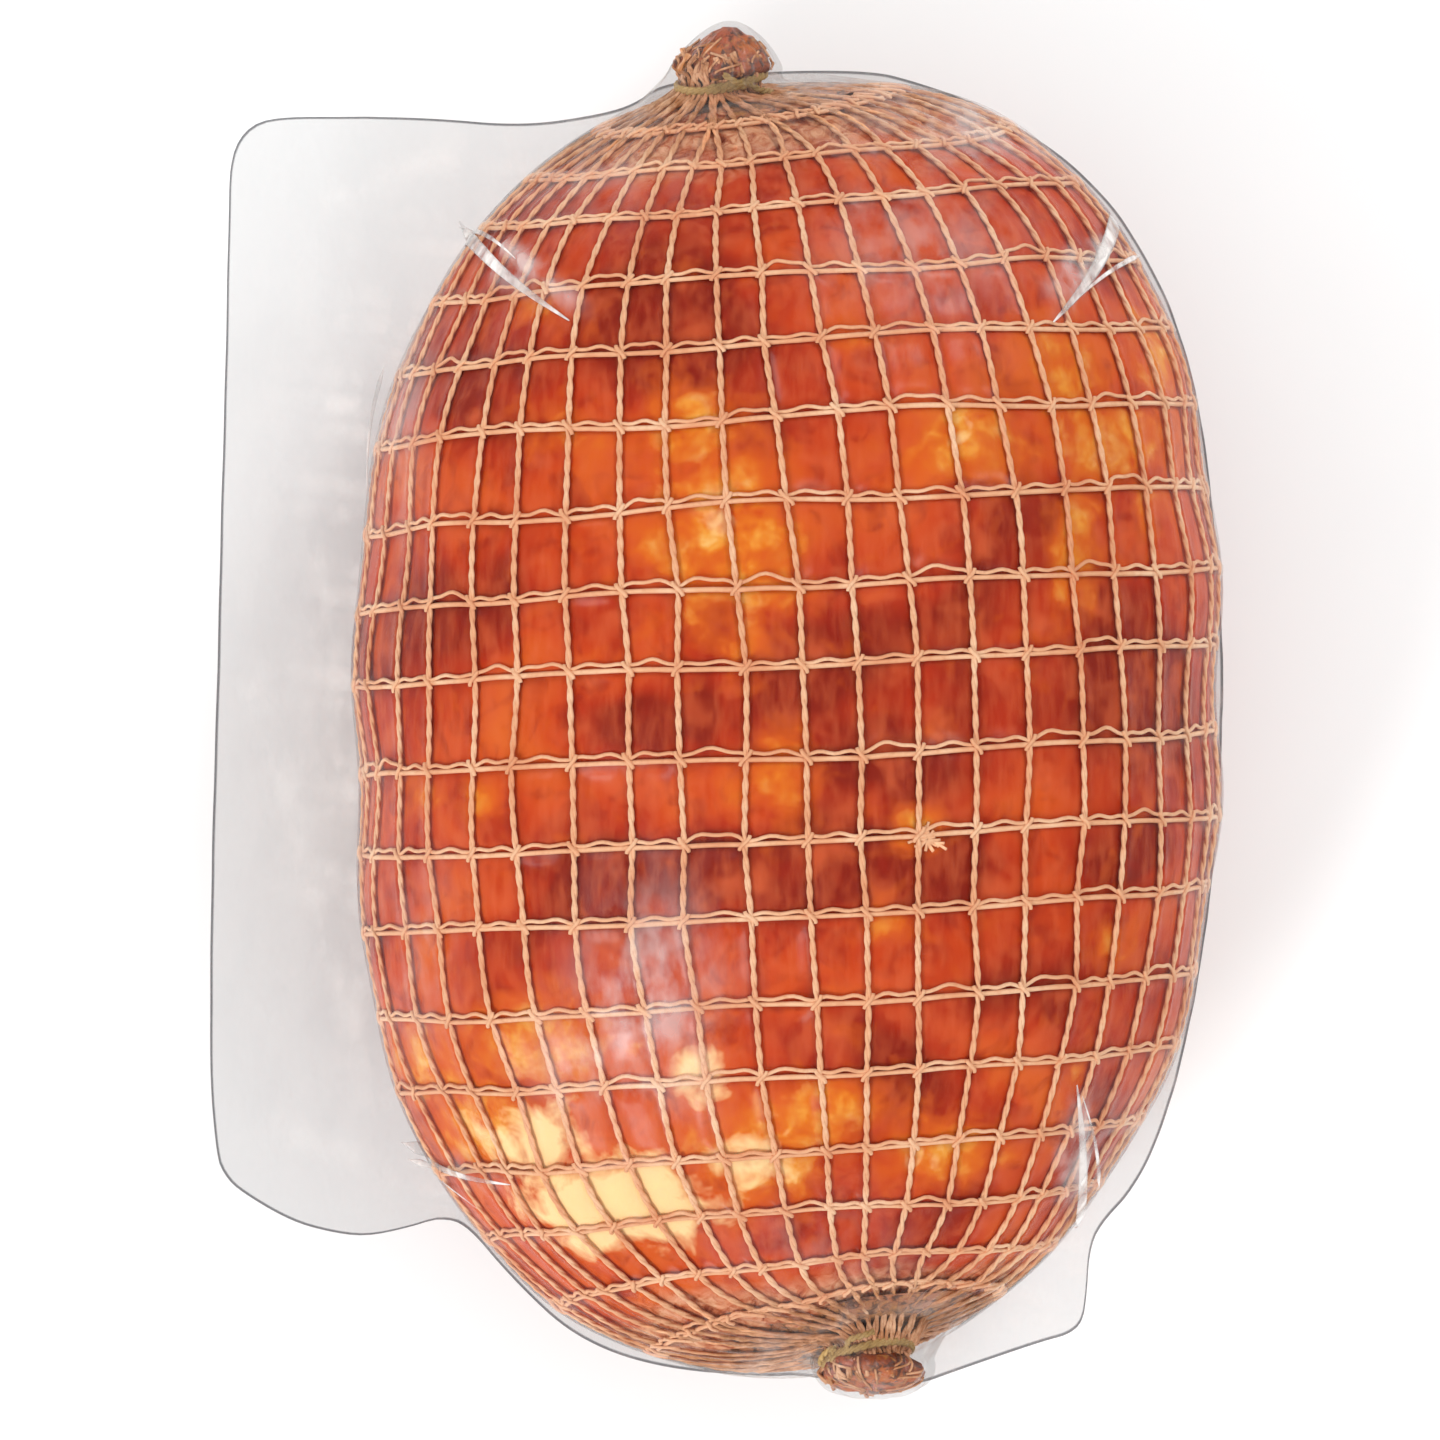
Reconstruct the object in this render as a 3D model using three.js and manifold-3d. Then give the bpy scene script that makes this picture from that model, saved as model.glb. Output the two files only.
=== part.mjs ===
// A boneless ham in a knitted net, tied at both ends and sealed in a clear vacuum pouch. It lies on its side.
// The ham's long axis is Y, its rings lie across it, and +Z is up. Every layer is built on one grid of wales
// (lengthwise cords) and rows, so that the ham, the net and the pouch follow each other at a set distance.
import * as THREE from "three";
import { mergeVertices } from "three/addons/utils/BufferGeometryUtils.js";
import Module from "manifold-3d";

// ---- Driving dimensions, in mm ----
const HALF_WIDTH = 74; // of the ham, across its widest row
const CROWN = 60; // from the widest level up to the ham's top
const BELLY = 56; // from the widest level down to where the belly would end
const REST_LEVEL = 50; // from the widest level down to the flat that the belly is pressed to
const WIDEST_AT = -8; // along Y
const TOP_END = 110.5; // along Y, where the +Y shoulder closes
const BOTTOM_END = -112; // along Y, where the -Y shoulder closes
const TOP_BLUNTNESS = [3, 0.46]; // exponents of the +Y shoulder's curve
const BOTTOM_BLUNTNESS = [2.3, 0.49]; // exponents of the -Y shoulder's curve
const SECTION_SQUARENESS = 0.92; // 1 is an ellipse, and less is squarer
const RING_SLANT = 0.05; // how far a ring runs towards +Y for each mm towards +X

const WALE_COUNT = 44;
const FIRST_RING_AT = -105; // along Y, on the crown
const LAST_RING_AT = 98.5; // along Y, on the crown
const RING_GAPS = 16; // between the first ring and the last
const COLLAR_RING_AT = 106.2; // one more ring close to the +Y neck
const WALE_LEAN = 0.2; // radians that the wales have turned towards the necks at each end
const SKIRT_AT = [-109.7, 109.3]; // along Y, where the wales have closed up into a skirt at each end
const CORD_WIDTH = 1.3;
const CORD_HEIGHT = 1.1;
const NET_CLEARANCE = 0.4; // between the ham and the net

// Where the net is gathered: which end, the place on the end seen along Y, and how far the neck leans up.
const TOP_NECK = { side: 1, x: -11.5, z: 16, lean: 0.26 };
const BOTTOM_NECK = { side: -1, x: 13.5, z: 20, lean: 0.34 };
const NECK_REACH = 36; // how far out the wales and rings are drawn towards the neck
// The gathered end, as [distance beyond the ham's tip, radius]: neck, tie groove, and the cut tuft.
const TUFT = [
  [0.8, 7.2],
  [4.2, 6.6],
  [5.4, 7.6],
  [8.6, 5.2],
];
const TUFT_TIP = 10.6;
// Two turns of twine round the neck, as [distance beyond the ham's tip, radius], closed on itself.
const TIE_SECTION = [
  [1.7, 7.4],
  [1.7, 8.6],
  [2.2, 9.1],
  [2.8, 8.7],
  [3.4, 9.1],
  [3.9, 8.6],
  [3.9, 7.4],
];
const TIE_SEGMENTS = 24;

const FILM_THICKNESS = 0.4;
const FILM_LIFT = 2.5; // from the ham's surface to the pouch's inner face
const FILM_NUB = [
  [2.6, 10.4],
  [6.4, 8.8],
  [9.8, 5.8],
]; // the pouch's inner face over the gathered end
const FILM_NUB_TIP = 11.9;
const WEB_GAP = 0.3; // between the two webs at the seal
// The seal's level, as [x, z]: it is highest under the ham, and the wide flap droops towards -X.
const SEAL_LEVEL = [
  [-130, -32],
  [-101, -27],
  [-88, -20],
  [-74, -13],
  [90, -6],
];
const SEAL_MARGIN = 1.6; // the narrow sealed edge along the +X side
const FLAP_EDGE = -101; // along X, the wide flap's outer edge
const FLAP_TOP = 105; // along Y
const FLAP_BOTTOM = -88.7; // along Y
const POUCH_RINGS = [0, 1, 2, 3, 4, 5, 7, 9, 11, 12, 13, 14, 15, 16, 17]; // rows that the pouch bends at
const SLAB_LENGTH = 300; // longer than the pouch
const SLAB_HEIGHT = 120; // higher than the pouch

// ---- The ham's surface ----
const power = (value, exponent) => Math.sign(value) * Math.abs(value) ** exponent;

// The share of the full section that is left at a distance along Y.
function fullness(y) {
  const top = y >= WIDEST_AT;
  const [steepness, roundness] = top ? TOP_BLUNTNESS : BOTTOM_BLUNTNESS;
  const end = top ? TOP_END : BOTTOM_END;
  const reach = Math.min(1, (y - WIDEST_AT) / (end - WIDEST_AT));
  return (1 - reach ** steepness) ** roundness;
}

// A point of the section at the widest row, with the belly not yet pressed flat.
function sectionPoint(turn) {
  const across = HALF_WIDTH * power(Math.cos(turn), SECTION_SQUARENESS);
  const rise = power(Math.sin(turn), SECTION_SQUARENESS);
  return [across, (rise > 0 ? CROWN : BELLY) * rise];
}

// Angles that part the section's girth into equal lengths, starting at +X.
function evenTurns(count) {
  const steps = 2880;
  const girths = [0];
  for (let k = 1; k <= steps; k++) {
    const [x0, z0] = sectionPoint((2 * Math.PI * (k - 1)) / steps);
    const [x1, z1] = sectionPoint((2 * Math.PI * k) / steps);
    girths.push(girths[k - 1] + Math.hypot(x1 - x0, z1 - z0));
  }
  return Array.from({ length: count }, (_, i) => {
    const wanted = (girths[steps] * i) / count;
    const after = girths.findIndex((g) => g > wanted);
    const part = (wanted - girths[after - 1]) / (girths[after] - girths[after - 1]);
    return (2 * Math.PI * (after - 1 + part)) / steps;
  });
}

// How full the section through a point is, from its place seen along Y.
function fullnessAt(x, z) {
  const share = (value, half) => Math.abs(value / half) ** (2 / SECTION_SQUARENESS);
  return (share(x, HALF_WIDTH) + share(z, z > 0 ? CROWN : BELLY)) ** (SECTION_SQUARENESS / 2);
}

// The surface point of one end, from its place seen along Y. It is slanted, and pressed flat under the belly.
function endPoint(x, z, top) {
  const [steepness, roundness] = top ? TOP_BLUNTNESS : BOTTOM_BLUNTNESS;
  const end = top ? TOP_END : BOTTOM_END;
  const reach = Math.max(0, 1 - fullnessAt(x, z) ** (1 / roundness)) ** (1 / steepness);
  const y = WIDEST_AT + (end - WIDEST_AT) * reach + RING_SLANT * x;
  return new THREE.Vector3(x, y, Math.max(z, -REST_LEVEL));
}

// The ham's surface at a turn about its axis and a place along Y. Near its ends the grid slides to the neck.
function hamPoint(turn, y) {
  const full = fullness(y);
  const reach = (y - WIDEST_AT) / (TOP_END - WIDEST_AT);
  const [across, rise] = sectionPoint(turn + WALE_LEAN * full * reach * Math.abs(reach) * Math.sin(turn));
  const neck = y > WIDEST_AT ? TOP_NECK : BOTTOM_NECK;
  const fade = (share) => Math.exp(-(((share * HALF_WIDTH) / NECK_REACH) ** 2));
  const drawn = (fade(full) - fade(1)) / (1 - fade(1));
  return endPoint(across * full + neck.x * drawn, rise * full + neck.z * drawn, y > WIDEST_AT);
}

// The same point moved out along the surface's normal.
function liftedPoint(turn, y, lift) {
  const small = 0.01;
  const round = hamPoint(turn + small, y).sub(hamPoint(turn - small, y));
  const along = hamPoint(turn, y + small).sub(hamPoint(turn, y - small));
  return hamPoint(turn, y).addScaledVector(along.cross(round).normalize(), lift);
}

// Places along Y that part the crown between the first and the last ring into equal lengths.
function crownRows() {
  const step = 0.05;
  const places = [FIRST_RING_AT];
  const lengths = [0];
  while (places.at(-1) < LAST_RING_AT) {
    const y = places.at(-1);
    places.push(y + step);
    lengths.push(lengths.at(-1) + Math.hypot(step, CROWN * (fullness(y + step) - fullness(y))));
  }
  return Array.from({ length: RING_GAPS + 1 }, (_, k) => {
    const wanted = (lengths.at(-1) * k) / RING_GAPS;
    return places[lengths.findIndex((length) => length >= wanted)];
  });
}

const turns = evenTurns(WALE_COUNT);
const rings = [...crownRows(), COLLAR_RING_AT];

// ---- Mesh helpers ----
function geometryOf(points, faces) {
  const geometry = new THREE.BufferGeometry();
  const positions = points.flatMap((p) => [p.x, p.y, p.z]);
  geometry.setAttribute("position", new THREE.Float32BufferAttribute(positions, 3));
  geometry.setIndex(faces.flat());
  return geometry;
}

// A closed skin through loops of equal length, with a point at each end. The loops run from -Y to +Y.
function skinOf(loops, startTip, endTip) {
  const count = loops[0].length;
  const points = [...loops.flat(), startTip, endTip];
  const start = points.length - 2;
  const end = points.length - 1;
  const last = (loops.length - 1) * count;
  const faces = [];
  for (let i = 0; i < count; i++) {
    const next = (i + 1) % count;
    faces.push([start, i, next], [end, last + next, last + i]);
    for (let row = 0; row < loops.length - 1; row++) {
      const here = row * count;
      const beyond = here + count;
      faces.push([here + i, beyond + i, here + next], [here + next, beyond + i, beyond + next]);
    }
  }
  return geometryOf(points, faces);
}

const ringLoop = (y, lift) => turns.map((turn) => liftedPoint(turn, y, lift));

// A point by a neck: so far out along its leaning axis, so far across, and so far up.
function neckPoint(neck, distance, across = 0, up = 0) {
  const [outward, upward] = [Math.cos(neck.lean), Math.sin(neck.lean)];
  const offset = new THREE.Vector3(
    across,
    neck.side * (distance * outward - up * upward),
    distance * upward + up * outward,
  );
  return endPoint(neck.x, neck.z, neck.side > 0).add(offset);
}

// A circle round a neck, so far out from the ham's tip.
const neckLoop = (neck, distance, radius) =>
  turns.map((turn) => neckPoint(neck, distance, radius * Math.cos(turn), radius * Math.sin(turn)));

// ---- Ham ----
function hamGeometry() {
  const loops = [SKIRT_AT[0], ...rings, SKIRT_AT[1]].map((y) => ringLoop(y, 0));
  return skinOf(loops, neckPoint(BOTTOM_NECK, 0), neckPoint(TOP_NECK, 0));
}

// ---- Netting ----
// Each crossing of a wale and a ring has four feet, close over the ham, and a ridge point above them.
const FOOT_SIDES = [
  [-1, -1],
  [1, -1],
  [1, 1],
  [-1, 1],
];

function crossingPoints(turn, y) {
  const small = 0.01;
  const round = hamPoint(turn + small, y).sub(hamPoint(turn - small, y)).normalize();
  const along = hamPoint(turn, y + small).sub(hamPoint(turn, y - small)).normalize();
  const centre = liftedPoint(turn, y, NET_CLEARANCE);
  const feet = FOOT_SIDES.map(([a, b]) =>
    centre
      .clone()
      .addScaledVector(round, (a * CORD_WIDTH) / 2)
      .addScaledVector(along, (b * CORD_WIDTH) / 2),
  );
  return [...feet, liftedPoint(turn, y, NET_CLEARANCE + CORD_HEIGHT)];
}

function nettingGeometry() {
  const points = [];
  const faces = [];
  const RIDGE = 4;
  const perCrossing = RIDGE + 1;
  const at = (row, wale, corner) => (row * WALE_COUNT + (wale % WALE_COUNT)) * perCrossing + corner;
  const quad = (a, b, c, d) => faces.push([a, b, c], [a, c, d]);
  const lastRow = rings.length - 1;
  rings.forEach((y) => turns.forEach((turn) => points.push(...crossingPoints(turn, y))));

  for (let row = 0; row <= lastRow; row++) {
    for (let wale = 0; wale < WALE_COUNT; wale++) {
      const here = (corner) => at(row, wale, corner);
      const beside = (corner) => at(row, wale + 1, corner);
      if (row < lastRow) {
        const beyond = (corner) => at(row + 1, wale, corner);
        quad(here(3), here(2), beyond(1), beyond(0));
        quad(here(2), here(RIDGE), beyond(RIDGE), beyond(1));
        quad(here(3), beyond(0), beyond(RIDGE), here(RIDGE));
        quad(here(2), beside(3), beside(RIDGE), here(RIDGE));
      }
      if (row > 0) quad(here(1), here(RIDGE), beside(RIDGE), beside(0));
      if (row > 0 && row < lastRow) {
        quad(here(0), here(1), here(2), here(3));
        quad(here(1), beside(0), beside(3), here(2));
      }
    }
  }

  // A gathered end closes the lattice: a skirt over the ham's shoulder, then the neck and the cut tuft.
  const addLoop = (loop) => points.push(...loop) - loop.length;
  function gatheredEnd(neck, skirtAt, row, flip) {
    const face = (a, b, c) => faces.push(flip ? [a, c, b] : [a, b, c]);
    const band = (from, to) => {
      for (let i = 0; i < WALE_COUNT; i++) {
        const next = (i + 1) % WALE_COUNT;
        face(from(i), to(i), from(next));
        face(from(next), to(i), to(next));
      }
    };
    const indices = (start) => (i) => start + i;
    const inner = indices(addLoop(ringLoop(skirtAt, NET_CLEARANCE)));
    const outer = indices(addLoop(ringLoop(skirtAt, NET_CLEARANCE + CORD_HEIGHT)));
    const necks = TUFT.map(([distance, radius]) => indices(addLoop(neckLoop(neck, distance, radius))));
    const innerTip = addLoop([neckPoint(neck, NET_CLEARANCE)]);
    const outerTip = addLoop([neckPoint(neck, TUFT_TIP)]);
    band((i) => at(row, i, RIDGE), outer);
    [outer, ...necks].slice(0, -1).forEach((loop, k) => band(loop, necks[k]));
    const [left, right] = flip ? [3, 2] : [0, 1];
    for (let i = 0; i < WALE_COUNT; i++) {
      const next = (i + 1) % WALE_COUNT;
      face(necks.at(-1)(i), outerTip, necks.at(-1)(next));
      face(inner(i), inner(next), innerTip);
      face(at(row, i, left), at(row, i, right), inner(i));
      face(at(row, i, right), inner(next), inner(i));
      face(at(row, i, right), at(row, next, left), inner(next));
    }
  }
  gatheredEnd(BOTTOM_NECK, SKIRT_AT[0], 0, true);
  gatheredEnd(TOP_NECK, SKIRT_AT[1], lastRow, false);
  return geometryOf(points, faces);
}

// ---- Twine ties ----
function tieGeometry(neck) {
  const corners = TIE_SECTION.map(([distance, radius]) => new THREE.Vector2(radius, distance));
  const geometry = new THREE.LatheGeometry([...corners, corners[0]], TIE_SEGMENTS);
  geometry.rotateX(neck.side > 0 ? neck.lean : Math.PI - neck.lean);
  return geometry.translate(...neckPoint(neck, 0));
}

// ---- Vacuum pouch ----
const wasm = await Module();
wasm.setup();

function solidOf(geometry) {
  geometry.deleteAttribute("normal");
  geometry.deleteAttribute("uv");
  const merged = mergeVertices(geometry, 1e-4);
  const vertProperties = merged.attributes.position.array;
  return new wasm.Manifold(
    new wasm.Mesh({ numProp: 3, vertProperties, triVerts: new Uint32Array(merged.index.array) }),
  );
}

function geometryFrom(solid) {
  const mesh = solid.getMesh();
  const geometry = new THREE.BufferGeometry();
  geometry.setAttribute("position", new THREE.BufferAttribute(mesh.vertProperties, 3));
  return geometry.setIndex(new THREE.BufferAttribute(mesh.triVerts, 1));
}

// The closed form inside the pouch, or outside it, with a lift over the ham.
function pouchForm(extra) {
  const nub = FILM_NUB.map(([distance, radius]) => [distance, radius + extra]);
  const rows = [SKIRT_AT[0], ...rings.filter((_, row) => POUCH_RINGS.includes(row)), SKIRT_AT[1]];
  const loops = [
    ...nub.map(([distance, radius]) => neckLoop(BOTTOM_NECK, distance, radius)).reverse(),
    ...rows.map((y) => ringLoop(y, FILM_LIFT + extra)),
    ...nub.map(([distance, radius]) => neckLoop(TOP_NECK, distance, radius)),
  ];
  const tip = FILM_NUB_TIP + extra;
  return solidOf(skinOf(loops, neckPoint(BOTTOM_NECK, tip), neckPoint(TOP_NECK, tip)));
}

// A slab that follows the seal's level, between two heights over it.
function slabOverSeal(low, high) {
  const under = SEAL_LEVEL.map(([x, z]) => new THREE.Vector2(x, z + low));
  const over = SEAL_LEVEL.map(([x, z]) => new THREE.Vector2(x, z + high)).reverse();
  const geometry = new THREE.ExtrudeGeometry(new THREE.Shape([...under, ...over]), {
    depth: SLAB_LENGTH,
    bevelEnabled: false,
  });
  return solidOf(geometry.rotateX(Math.PI / 2).translate(0, SLAB_LENGTH / 2, 0));
}

// An outline seen from above, as an upright solid that crosses the seal's level.
function prismOf(shape) {
  const height = 80;
  const geometry = new THREE.ExtrudeGeometry(shape, { depth: height, bevelEnabled: false, curveSegments: 6 });
  return solidOf(geometry.translate(0, 0, -height / 2 - 10));
}

function wideFlap() {
  const shape = new THREE.Shape();
  shape.moveTo(-25, 85);
  shape.lineTo(-27, 107);
  shape.quadraticCurveTo(-40, 103.4, -62, FLAP_TOP - 1);
  shape.lineTo(FLAP_EDGE + 13, FLAP_TOP);
  shape.quadraticCurveTo(FLAP_EDGE + 4.5, FLAP_TOP, FLAP_EDGE + 4, FLAP_TOP - 11);
  shape.lineTo(FLAP_EDGE, -20);
  shape.lineTo(FLAP_EDGE, -66);
  shape.bezierCurveTo(FLAP_EDGE, -80, FLAP_EDGE + 11, FLAP_BOTTOM, -76, FLAP_BOTTOM);
  shape.quadraticCurveTo(-68, FLAP_BOTTOM, -60.5, FLAP_BOTTOM + 3.4);
  shape.lineTo(-40, -75);
  return shape;
}

function smallFlap() {
  const shape = new THREE.Shape();
  shape.moveTo(40, -65);
  shape.lineTo(64, -76);
  shape.quadraticCurveTo(53.5, -86, 52.2, -94);
  shape.lineTo(52, -103);
  shape.quadraticCurveTo(51.5, -107, 45, -107.8);
  shape.quadraticCurveTo(34, -110, 27, -115.5);
  shape.lineTo(14, -100);
  return shape;
}

// The narrow sealed edge that follows the ham's +X side.
function narrowEdge() {
  const lift = FILM_LIFT + FILM_THICKNESS + SEAL_MARGIN;
  const edge = rings.map((y) => liftedPoint(0, y, lift));
  return new THREE.Shape(edge.map((p) => new THREE.Vector2(p.x, p.y)));
}

function pouchWebs() {
  const inside = pouchForm(0);
  const wall = pouchForm(FILM_THICKNESS).subtract(inside);
  const flaps = [wideFlap(), smallFlap(), narrowEdge()].map(prismOf);
  const plan = flaps[0].add(flaps[1]).add(flaps[2]);
  const half = WEB_GAP / 2;
  const web = (near, far, side) => {
    const flange = slabOverSeal(near, far).intersect(plan).subtract(inside);
    return geometryFrom(wall.intersect(side).add(flange));
  };
  return {
    upper: web(half, half + FILM_THICKNESS, slabOverSeal(half, SLAB_HEIGHT)),
    lower: web(-half - FILM_THICKNESS, -half, slabOverSeal(-SLAB_HEIGHT, -half)),
  };
}

// ---- The object ----
const webs = pouchWebs();
const pieces = [
  ["ham", hamGeometry(), { color: 0xa8371c, roughness: 0.35 }],
  ["netting", nettingGeometry(), { color: 0xe8b48c, roughness: 0.7 }],
  ["twine_tie_top", tieGeometry(TOP_NECK), { color: 0xd8c9a0, roughness: 0.85 }],
  ["twine_tie_bottom", tieGeometry(BOTTOM_NECK), { color: 0xd8c9a0, roughness: 0.85 }],
  ["film_upper", webs.upper, { color: 0xe4e4e4, roughness: 0.12, transparent: true, opacity: 0.3 }],
  ["film_lower", webs.lower, { color: 0xe4e4e4, roughness: 0.12, transparent: true, opacity: 0.3 }],
];

const group = new THREE.Group();
for (const [name, geometry, look] of pieces) {
  const mesh = new THREE.Mesh(geometry, new THREE.MeshStandardMaterial({ metalness: 0, ...look }));
  mesh.name = name;
  group.add(mesh);
}

// The origin is the middle of the footprint, on the surface that the pouch lies on.
const box = new THREE.Box3().setFromObject(group);
const middle = box.getCenter(new THREE.Vector3());
group.position.set(-middle.x, -middle.y, -box.min.z);

export default group;
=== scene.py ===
"""A boneless smoked ham in knitted elastic net, tied at both ends and sealed in a clear vacuum pouch.

The ham's surface is one formula over two grid coordinates: wale, which counts the net's lengthwise cords
round the ham, and row, which counts its rings along the ham. The meat, the cords and the pouch all use it.
Sizes are in millimetres in the ham's own frame and become metres of the CAD frame when a mesh is made.
"""

import math

import bmesh
import bpy
import numpy as np
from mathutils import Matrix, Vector, noise


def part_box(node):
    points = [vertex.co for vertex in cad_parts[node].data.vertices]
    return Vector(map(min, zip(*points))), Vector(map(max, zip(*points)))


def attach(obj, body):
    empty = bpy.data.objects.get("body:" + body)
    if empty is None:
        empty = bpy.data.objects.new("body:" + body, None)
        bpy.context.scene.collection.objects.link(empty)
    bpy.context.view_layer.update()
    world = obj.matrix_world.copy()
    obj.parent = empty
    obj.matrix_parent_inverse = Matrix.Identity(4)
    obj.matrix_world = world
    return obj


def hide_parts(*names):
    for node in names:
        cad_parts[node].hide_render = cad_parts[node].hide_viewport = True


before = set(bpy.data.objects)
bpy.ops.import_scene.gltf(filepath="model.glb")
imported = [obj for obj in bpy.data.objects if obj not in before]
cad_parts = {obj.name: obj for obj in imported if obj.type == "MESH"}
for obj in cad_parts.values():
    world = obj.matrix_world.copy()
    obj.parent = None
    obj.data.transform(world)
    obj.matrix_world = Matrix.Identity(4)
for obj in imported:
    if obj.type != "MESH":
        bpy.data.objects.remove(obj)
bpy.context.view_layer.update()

rng = np.random.default_rng(7)

# ---- Sizes shared with the CAD model, in mm ----
HALF_WIDTH, CROWN, BELLY, REST_LEVEL = 74.0, 60.0, 56.0, 50.0
WIDEST_AT, TOP_END, BOTTOM_END = -8.0, 110.5, -112.0
TOP_BLUNTNESS, BOTTOM_BLUNTNESS = (3.0, 0.46), (2.3, 0.49)
SQUARENESS, RING_SLANT, WALE_LEAN = 0.92, 0.05, 0.2
WALES, RING_GAPS = 44, 16
FIRST_RING_AT, LAST_RING_AT, COLLAR_RING_AT = -105.0, 98.5, 106.2
LAST_ROW = RING_GAPS + 1
TOP_NECK = dict(side=1, x=-11.5, z=16.0, lean=0.26)
BOTTOM_NECK = dict(side=-1, x=13.5, z=20.0, lean=0.34)
NECK_REACH = 36.0
# Each gathered end as (distance beyond the ham's tip, radius): the film over it, and the bunched net inside,
# which runs through the tie's groove to the cut tuft. Both lean to +X, and the tie rises by its
# tilt over there.
TOP_NECK["film"] = [(3.2, 10.4), (5.6, 9.2), (8.1, 7.5), (10.4, 5.4), (12.1, 3.1), (12.9, 1.3)]
TOP_NECK["tuft"] = [
    (1.2, 7.1), (2.0, 6.3), (2.9, 6.0), (3.8, 6.4), (4.8, 7.6), (6.0, 7.8), (7.4, 6.9), (8.8, 5.6),
]
TOP_NECK["tuft"] += [(10.0, 4.3), (11.0, 2.9), (11.7, 1.3)]
TOP_NECK["tilt"] = 1.0
BOTTOM_NECK["film"] = [(3.0, 10.6), (4.8, 10.4), (6.6, 9.8), (8.2, 8.2), (9.2, 5.6), (9.7, 2.6)]
BOTTOM_NECK["tuft"] = [
    (1.2, 7.1), (2.0, 6.3), (2.9, 6.0), (3.8, 6.8), (4.7, 8.1), (5.8, 8.7), (6.8, 8.3), (7.6, 7.0),
]
BOTTOM_NECK["tuft"] += [(8.3, 5.2), (8.7, 3.0), (8.9, 1.2)]
BOTTOM_NECK["tilt"] = -1.5
NUB_LEAN = 0.12
# The seal's plane, z = level + slope * x, and how the wide flap droops past the ham's side.
SEAL_AT_SIDE, SEAL_SLOPE = -13.0, 7.0 / 164.0
DROOP = ((-130.0, -32.0), (-101.0, -27.0), (-88.0, -20.0), (-74.0, -13.0))


# ---- The ham's surface ----
def power(value, exponent):
    return np.sign(value) * np.abs(value) ** exponent


def end_curve(y):
    """The exponents and the end of the shoulder that each y belongs to."""
    top = y >= WIDEST_AT
    steep = np.where(top, TOP_BLUNTNESS[0], BOTTOM_BLUNTNESS[0])
    round_ = np.where(top, TOP_BLUNTNESS[1], BOTTOM_BLUNTNESS[1])
    return steep, round_, np.where(top, TOP_END, BOTTOM_END)


def fullness(y):
    steep, round_, end = end_curve(y)
    reach = np.clip((y - WIDEST_AT) / (end - WIDEST_AT), 0, 1)
    return (1 - reach**steep) ** round_


def section(turn):
    rise = power(np.sin(turn), SQUARENESS)
    return HALF_WIDTH * power(np.cos(turn), SQUARENESS), np.where(rise > 0, CROWN, BELLY) * rise


def girth_table():
    """Turns and the share of the girth up to each, for one full turn."""
    turns = np.linspace(0, 2 * np.pi, 2881)
    x, z = section(turns)
    lengths = np.concatenate([[0], np.cumsum(np.hypot(np.diff(x), np.diff(z)))])
    return turns, lengths / lengths[-1]


def crown_table():
    """Places along Y and the row number at each, with rows at equal lengths over the crown."""
    swing = np.sin(np.linspace(0, np.pi / 2, 3000))
    below = WIDEST_AT + (BOTTOM_END - WIDEST_AT) * swing[::-1]
    places = np.concatenate([below, WIDEST_AT + (TOP_END - WIDEST_AT) * swing[1:]])
    lengths = np.concatenate([[0], np.cumsum(np.hypot(np.diff(places), np.diff(CROWN * fullness(places))))])
    marks = np.interp([FIRST_RING_AT, LAST_RING_AT, COLLAR_RING_AT], places, lengths)
    known = np.array([0, marks[0], marks[1], marks[2], lengths[-1]])
    rows = np.interp(lengths, known, [-1, 0, RING_GAPS, LAST_ROW, LAST_ROW + 1])
    return places, rows


TURNS, GIRTH_SHARES = girth_table()
PLACES, ROWS = crown_table()

# The real net is drawn on by hand: each crossing is a little off its place, and whole cords drift.
SIDE_SHIFT = rng.normal(0, 0.035, (WALES, LAST_ROW + 3)) + rng.normal(0, 0.06, (WALES, 1))
RING_SHIFT = rng.normal(0, 0.022, (WALES, LAST_ROW + 3)) + rng.normal(0, 0.02, (1, LAST_ROW + 3))
for column in range(2):  # rings bend in long waves and not at every crossing
    RING_SHIFT = (np.roll(RING_SHIFT, 1, 0) + RING_SHIFT * 2 + np.roll(RING_SHIFT, -1, 0)) / 4
RING_SHIFT *= 2.0


def crossing_value(table, wale, row):
    """A table of values at the crossings, read between them."""
    column = np.mod(wale, WALES)
    left = np.floor(column).astype(int)
    place = np.clip(row + 1, 0, table.shape[1] - 1.001)
    low = np.floor(place).astype(int)
    across, along = column - left, place - low
    left, right = left % WALES, (left + 1) % WALES
    near = table[left, low] * (1 - across) + table[right, low] * across
    far = table[left, low + 1] * (1 - across) + table[right, low + 1] * across
    return near * (1 - along) + far * along


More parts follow.
